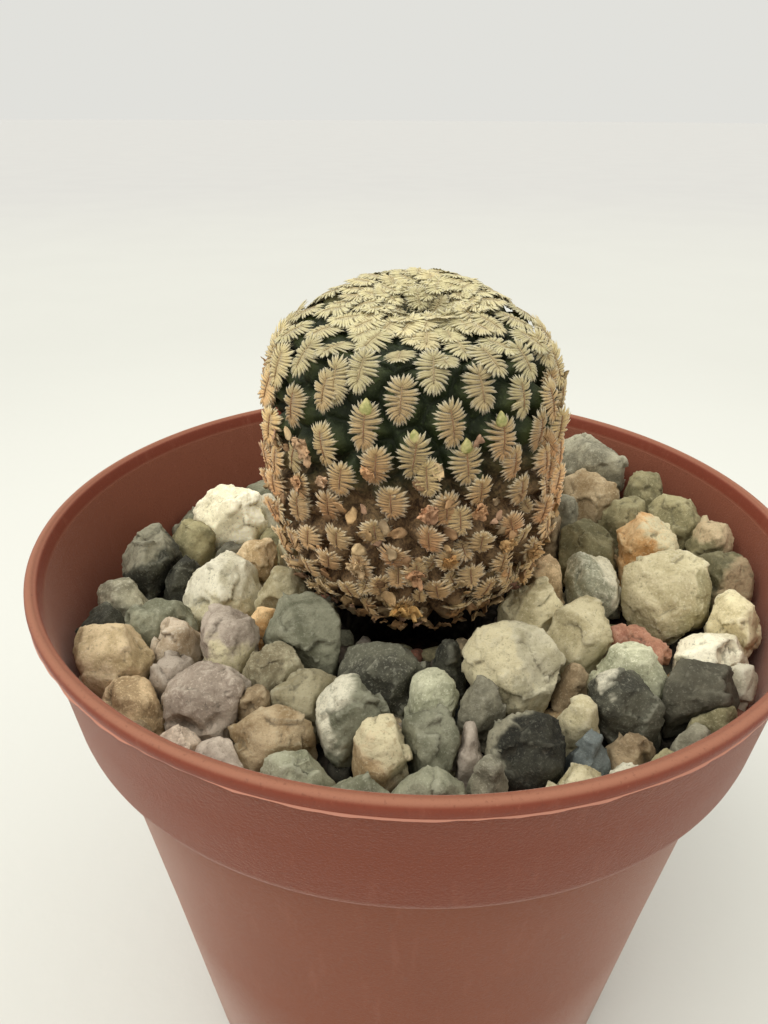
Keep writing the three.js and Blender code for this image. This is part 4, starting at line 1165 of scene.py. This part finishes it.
def bedded_stones():
    """Weathered bedded stones, joined by colour. Returns where they are, for the grit."""
    groups = {}
    spots = []
    for number, shape in enumerate(bedded_lumps()):
        stone = weathered(even_net(shape, BEDDED_CELL), BEDDED_SEED + number)
        places = np.array([v.co for v in stone.verts])
        spots.append((places.min(axis=0), places.max(axis=0)))
        x, y, _ = places.mean(axis=0)
        near = [kind for a, b, kind in BEDDED_SPOTS if math.hypot(a - x, b - y) < 1]
        kind = near[0] if near else BEDDED_KINDS[number % len(BEDDED_KINDS)]
        mesh = mesh_of("bedded", stone)
        groups.setdefault(kind, bmesh.new()).from_mesh(mesh)
        bpy.data.meshes.remove(mesh)
    for kind in sorted(groups):
        finish = stone_finish(f"bedded_{kind}", kind, BEDDED_PATTERN)
        finish_piece(f"bedded_stones_{kind}", groups[kind], finish, ["gravel_bed"],
                     recalc=False)
    return spots


GRIT_TRIES = 1100
GRIT_REACH = 24.5
GRIT_SEED = 21
# The plant's neck: where it stands across and back, and its radius.
NECK = (-0.2, 1.1, 6.3)


def grit_shape(spots):
    """Small crushed stone in the gaps between the larger stones."""
    draw = random.Random(GRIT_SEED)
    bm = bmesh.new()
    tones = []
    kinds = sorted(STONE_COLOURS)
    for number in range(GRIT_TRIES):
        reach = GRIT_REACH * math.sqrt(draw.random())
        angle = draw.uniform(0, 2 * math.pi)
        x, y = reach * math.cos(angle), reach * math.sin(angle)
        size = draw.uniform(0.4, 1.0)
        z = bed_height(x, y) + draw.uniform(0.0, 0.9)
        stretch = [draw.uniform(0.8, 1.2), draw.uniform(0.7, 1.1), draw.uniform(0.6, 0.9)]
        turn = Matrix.Rotation(draw.uniform(0, math.pi), 3, "Z")
        tone = colour(STONE_COLOURS[draw.choice(kinds)][draw.randrange(2)])
        hidden = any(low[0] + size < x < high[0] - size and low[1] + size < y < high[1] - size
                     for low, high in spots)
        if hidden or math.hypot(x - NECK[0], y - NECK[1]) < NECK[2]:
            continue
        shift = own_shift(number, (1.7, 0.9, 0), 40)
        for vert in ball(bm, 2):
            p = vert.co
            lump = 1 + 0.5 * noise.noise(p * 0.9 + shift) + 0.2 * noise.noise(p * 2.3 + shift)
            local = turn @ Vector([size * lump * p[i] * stretch[i] for i in range(3)])
            vert.co = local + Vector((x, y, z))
            tones.append(tone)
    paint(bm, "tone", tones)
    return bm


def grit_finish():
    f = Finish("grit", 0.9, Specular_IOR_Level=0.25)
    mottle = f.noise(f.shifted(), 2.4, 5, 0.7)
    base = f.layered(f.attribute("tone")["Color"], (mottle, (0.42, 0.6, 0.5, 0.0), "4f4a40"),
                     (mottle, (0.58, 0.72, 0.0, 0.4), "d0c9b4"))
    return f.close(base, f.bump(mottle, 0.1))


RUBBLE_OUTLINE = [(5.9, 31.3), (22.95, 31.3), (23.3, 36.8), (24.6, 38.3)]
RUBBLE_RINGS = 46
RUBBLE_TURNS = 180


def rubble_shape():
    """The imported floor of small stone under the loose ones, with a hole for the taproot."""
    inner, outer = RUBBLE_OUTLINE[0][0], RUBBLE_OUTLINE[-1][0]
    top = [(outer + (inner - outer) * i / RUBBLE_RINGS, BED_TOP) for i in range(RUBBLE_RINGS + 1)]
    bm = spun(RUBBLE_OUTLINE + top, RUBBLE_TURNS, closed=True)
    for vert in bm.verts:
        x, y, z = vert.co
        inward = 1 - math.hypot(x, y) / outer
        vert.co.x += NECK[0] * inward
        vert.co.y += NECK[1] * inward
        if z > BED_TOP - 0.1:
            lump = noise.fractal(vert.co * 0.8, 0.8, 2.0, 4)
            vert.co.z = bed_height(x, y) - 0.25 + 0.45 * lump
    return bm


def rubble_painted_shade_finish():
    f = Finish("rubble", 0.95, Specular_IOR_Level=0.2)
    at = f.shifted()
    mottle = f.noise(at, 1.4, 5, 0.7)
    # Near-black rubble, darker in its cells: painted shade that darkens the gaps between the loose
    # stones.
    base = f.mix(f.band(mottle, 0.35, 0.65), "2f2a25", "5e564b")
    base = f.layered(base, (f.cells(at, 0.9), (0.25, 0.6, 0.0, 0.7), "231f1b"))
    return f.close(base, f.bump(mottle, 0.3))


def soil_finish():
    f = Finish("soil_mix", 1.0, Specular_IOR_Level=0.15)
    at = f.shifted()
    crumb = f.noise(at, 1.8, 6, 0.75)
    base = f.mix(f.band(crumb, 0.35, 0.65), "1f1712", "4a382b")
    base = f.layered(base, (f.cells(at, 0.7), (0.0, 0.16, 0.6, 0.0), "a99f90"))
    return f.close(base, f.bump(crumb, 0.5))


# Studio: a plain pale floor, soft light from above and the left, a weak fill from the right,
# and the camera, fitted to the photo.

FLOOR_RADIUS = 6000
SKY_LOW = 0.74
SKY_HIGH = 1.15
SKY_TINT = (1.02, 1.015, 0.965, 1.0)
SUN_SPREAD = math.radians(50)
SUN_TINT = (1.0, 0.99, 0.96)
KEY_POWER = 1.5
KEY_FROM = (-0.52, -0.3, 0.85)
FILL_POWER = 0.3
FILL_FROM = (1.0, 0.1, 0.4)


def backdrop():
    """A pale paper floor, painted a little greyer with distance as painted shade, up to the colour
    of the sky.
    """
    bm = bmesh.new()
    bmesh.ops.create_circle(bm, cap_ends=True, segments=64, radius=FLOOR_RADIUS)
    bmesh.ops.scale(bm, vec=(MM,) * 3, verts=bm.verts)
    floor = placed("floor", mesh_of("floor", bm))
    f = Finish("pale_floor", 0.9, Specular_IOR_Level=0.1)
    at = f.shifted()
    away = f.length(at)
    base = f.mix(f.band(away, 60, 260), "d6d6cf", "c9c9c3")
    base = f.layered(base, (away, (200, 900), "c0bfbd"),
                     (f.noise(at, 0.02, 4), (0.3, 0.7, 0.0, 0.06), "dbdcd5"))
    floor.data.materials.append(f.close(base, f.bump(f.noise(at, 0.35, 4), 0.06)))


def sky():
    """Even light all round, brighter overhead."""
    world = bpy.data.worlds.new("studio")
    bpy.context.scene.world = world
    world.use_nodes = True
    nodes = Nodes(world.node_tree)
    way = nodes.add("ShaderNodeTexCoord").outputs["Generated"]
    rise = nodes.fed("ShaderNodeSeparateXYZ", {"Vector": way}).outputs["Z"]
    even = nodes.tree.nodes["Background"]
    nodes.put(even.inputs["Color"], SKY_TINT)
    nodes.put(even.inputs["Strength"], nodes.band(rise, 0.1, 1.0, SKY_LOW, SKY_HIGH))


def soft_sun(name, power, way):
    """Light from one side, with shadows as soft as those of a large window."""
    lamp = bpy.data.lights.new(name, "SUN")
    lamp.energy = power
    lamp.angle = SUN_SPREAD
    lamp.color = SUN_TINT
    holder = placed(name, lamp)
    holder.rotation_mode = "QUATERNION"
    holder.rotation_quaternion = Vector(way).to_track_quat("Z", "Y")


def studio():
    sky()
    soft_sun("key", KEY_POWER, KEY_FROM)
    soft_sun("fill", FILL_POWER, FILL_FROM)
    bpy.context.scene.view_settings.view_transform = "Standard"


PHOTO_HEIGHT = 1024
FOCAL_PIXELS = 765.0
SENSOR = 36.0
PITCH = 0.4856
ROLL = 0.005
YAW = -0.035
EYE = (-0.5876, -51.3, 75.2)


def camera():
    """The photo's camera: its lens, where it stands and how it is turned."""
    lens = bpy.data.cameras.new("camera")
    lens.sensor_width = SENSOR
    lens.lens = SENSOR * FOCAL_PIXELS / PHOTO_HEIGHT
    lens.clip_start = 0.001
    lens.clip_end = 50
    forward = Vector((math.sin(YAW) * math.cos(PITCH), math.cos(YAW) * math.cos(PITCH),
                      -math.sin(PITCH)))
    right = Vector((math.cos(YAW), -math.sin(YAW), 0))
    up = right.cross(forward)
    side = right * math.cos(ROLL) + up * math.sin(ROLL)
    top = up * math.cos(ROLL) - right * math.sin(ROLL)
    holder = placed("camera", lens)
    turn = Matrix((side, top, -forward)).transposed().to_4x4()
    holder.matrix_world = Matrix.Translation(Vector(EYE) * MM) @ turn
    bpy.context.scene.camera = holder


# Putting it together.

def pot():
    finish_piece("pot_shell", drilled(pot_shape()), pot_finish(), ["pot"])


def grown(name, bm, finish, recalc=True):
    finish_piece(name, bm, finish, ["cactus"], recalc)


def plant():
    grown("cactus_body", skin_shape(), skin_finish())
    combs = comb_finish()
    for name, ages in (("crown", range(0, 60)), ("upper", range(60, 120)),
                       ("middle", range(120, 182)), ("lower", range(182, AREOLES))):
        grown(f"spine_combs_{name}", combs_shape(ages, ages.start + 1), combs, recalc=False)
    grown("crown_wool", wool_shape(), wool_finish(), recalc=False)
    dry = dried_finish()
    grown("dried_flowers", dried_flowers_shape(), dry)
    grown("husks", husks_shape(), dry)
    grown("green_tips", green_tips_shape(), green_tips_finish())


def fill():
    free_stones()
    spots = bedded_stones()
    for node in stone_nodes():
        low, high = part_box(node)
        spots.append((np.array(low) / MM, np.array(high) / MM))
    finish_piece("grit", grit_shape(spots), grit_finish(), ["gravel_bed"])
    finish_piece("rubble_floor_painted_shade", rubble_shape(), rubble_painted_shade_finish(), ["gravel_bed"])
    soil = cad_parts["soil"]
    soil.data.materials.clear()
    soil.data.materials.append(soil_finish())


pot()
plant()
fill()
backdrop()
studio()
camera()
bpy.data.meshes.remove(ROW_MESH)
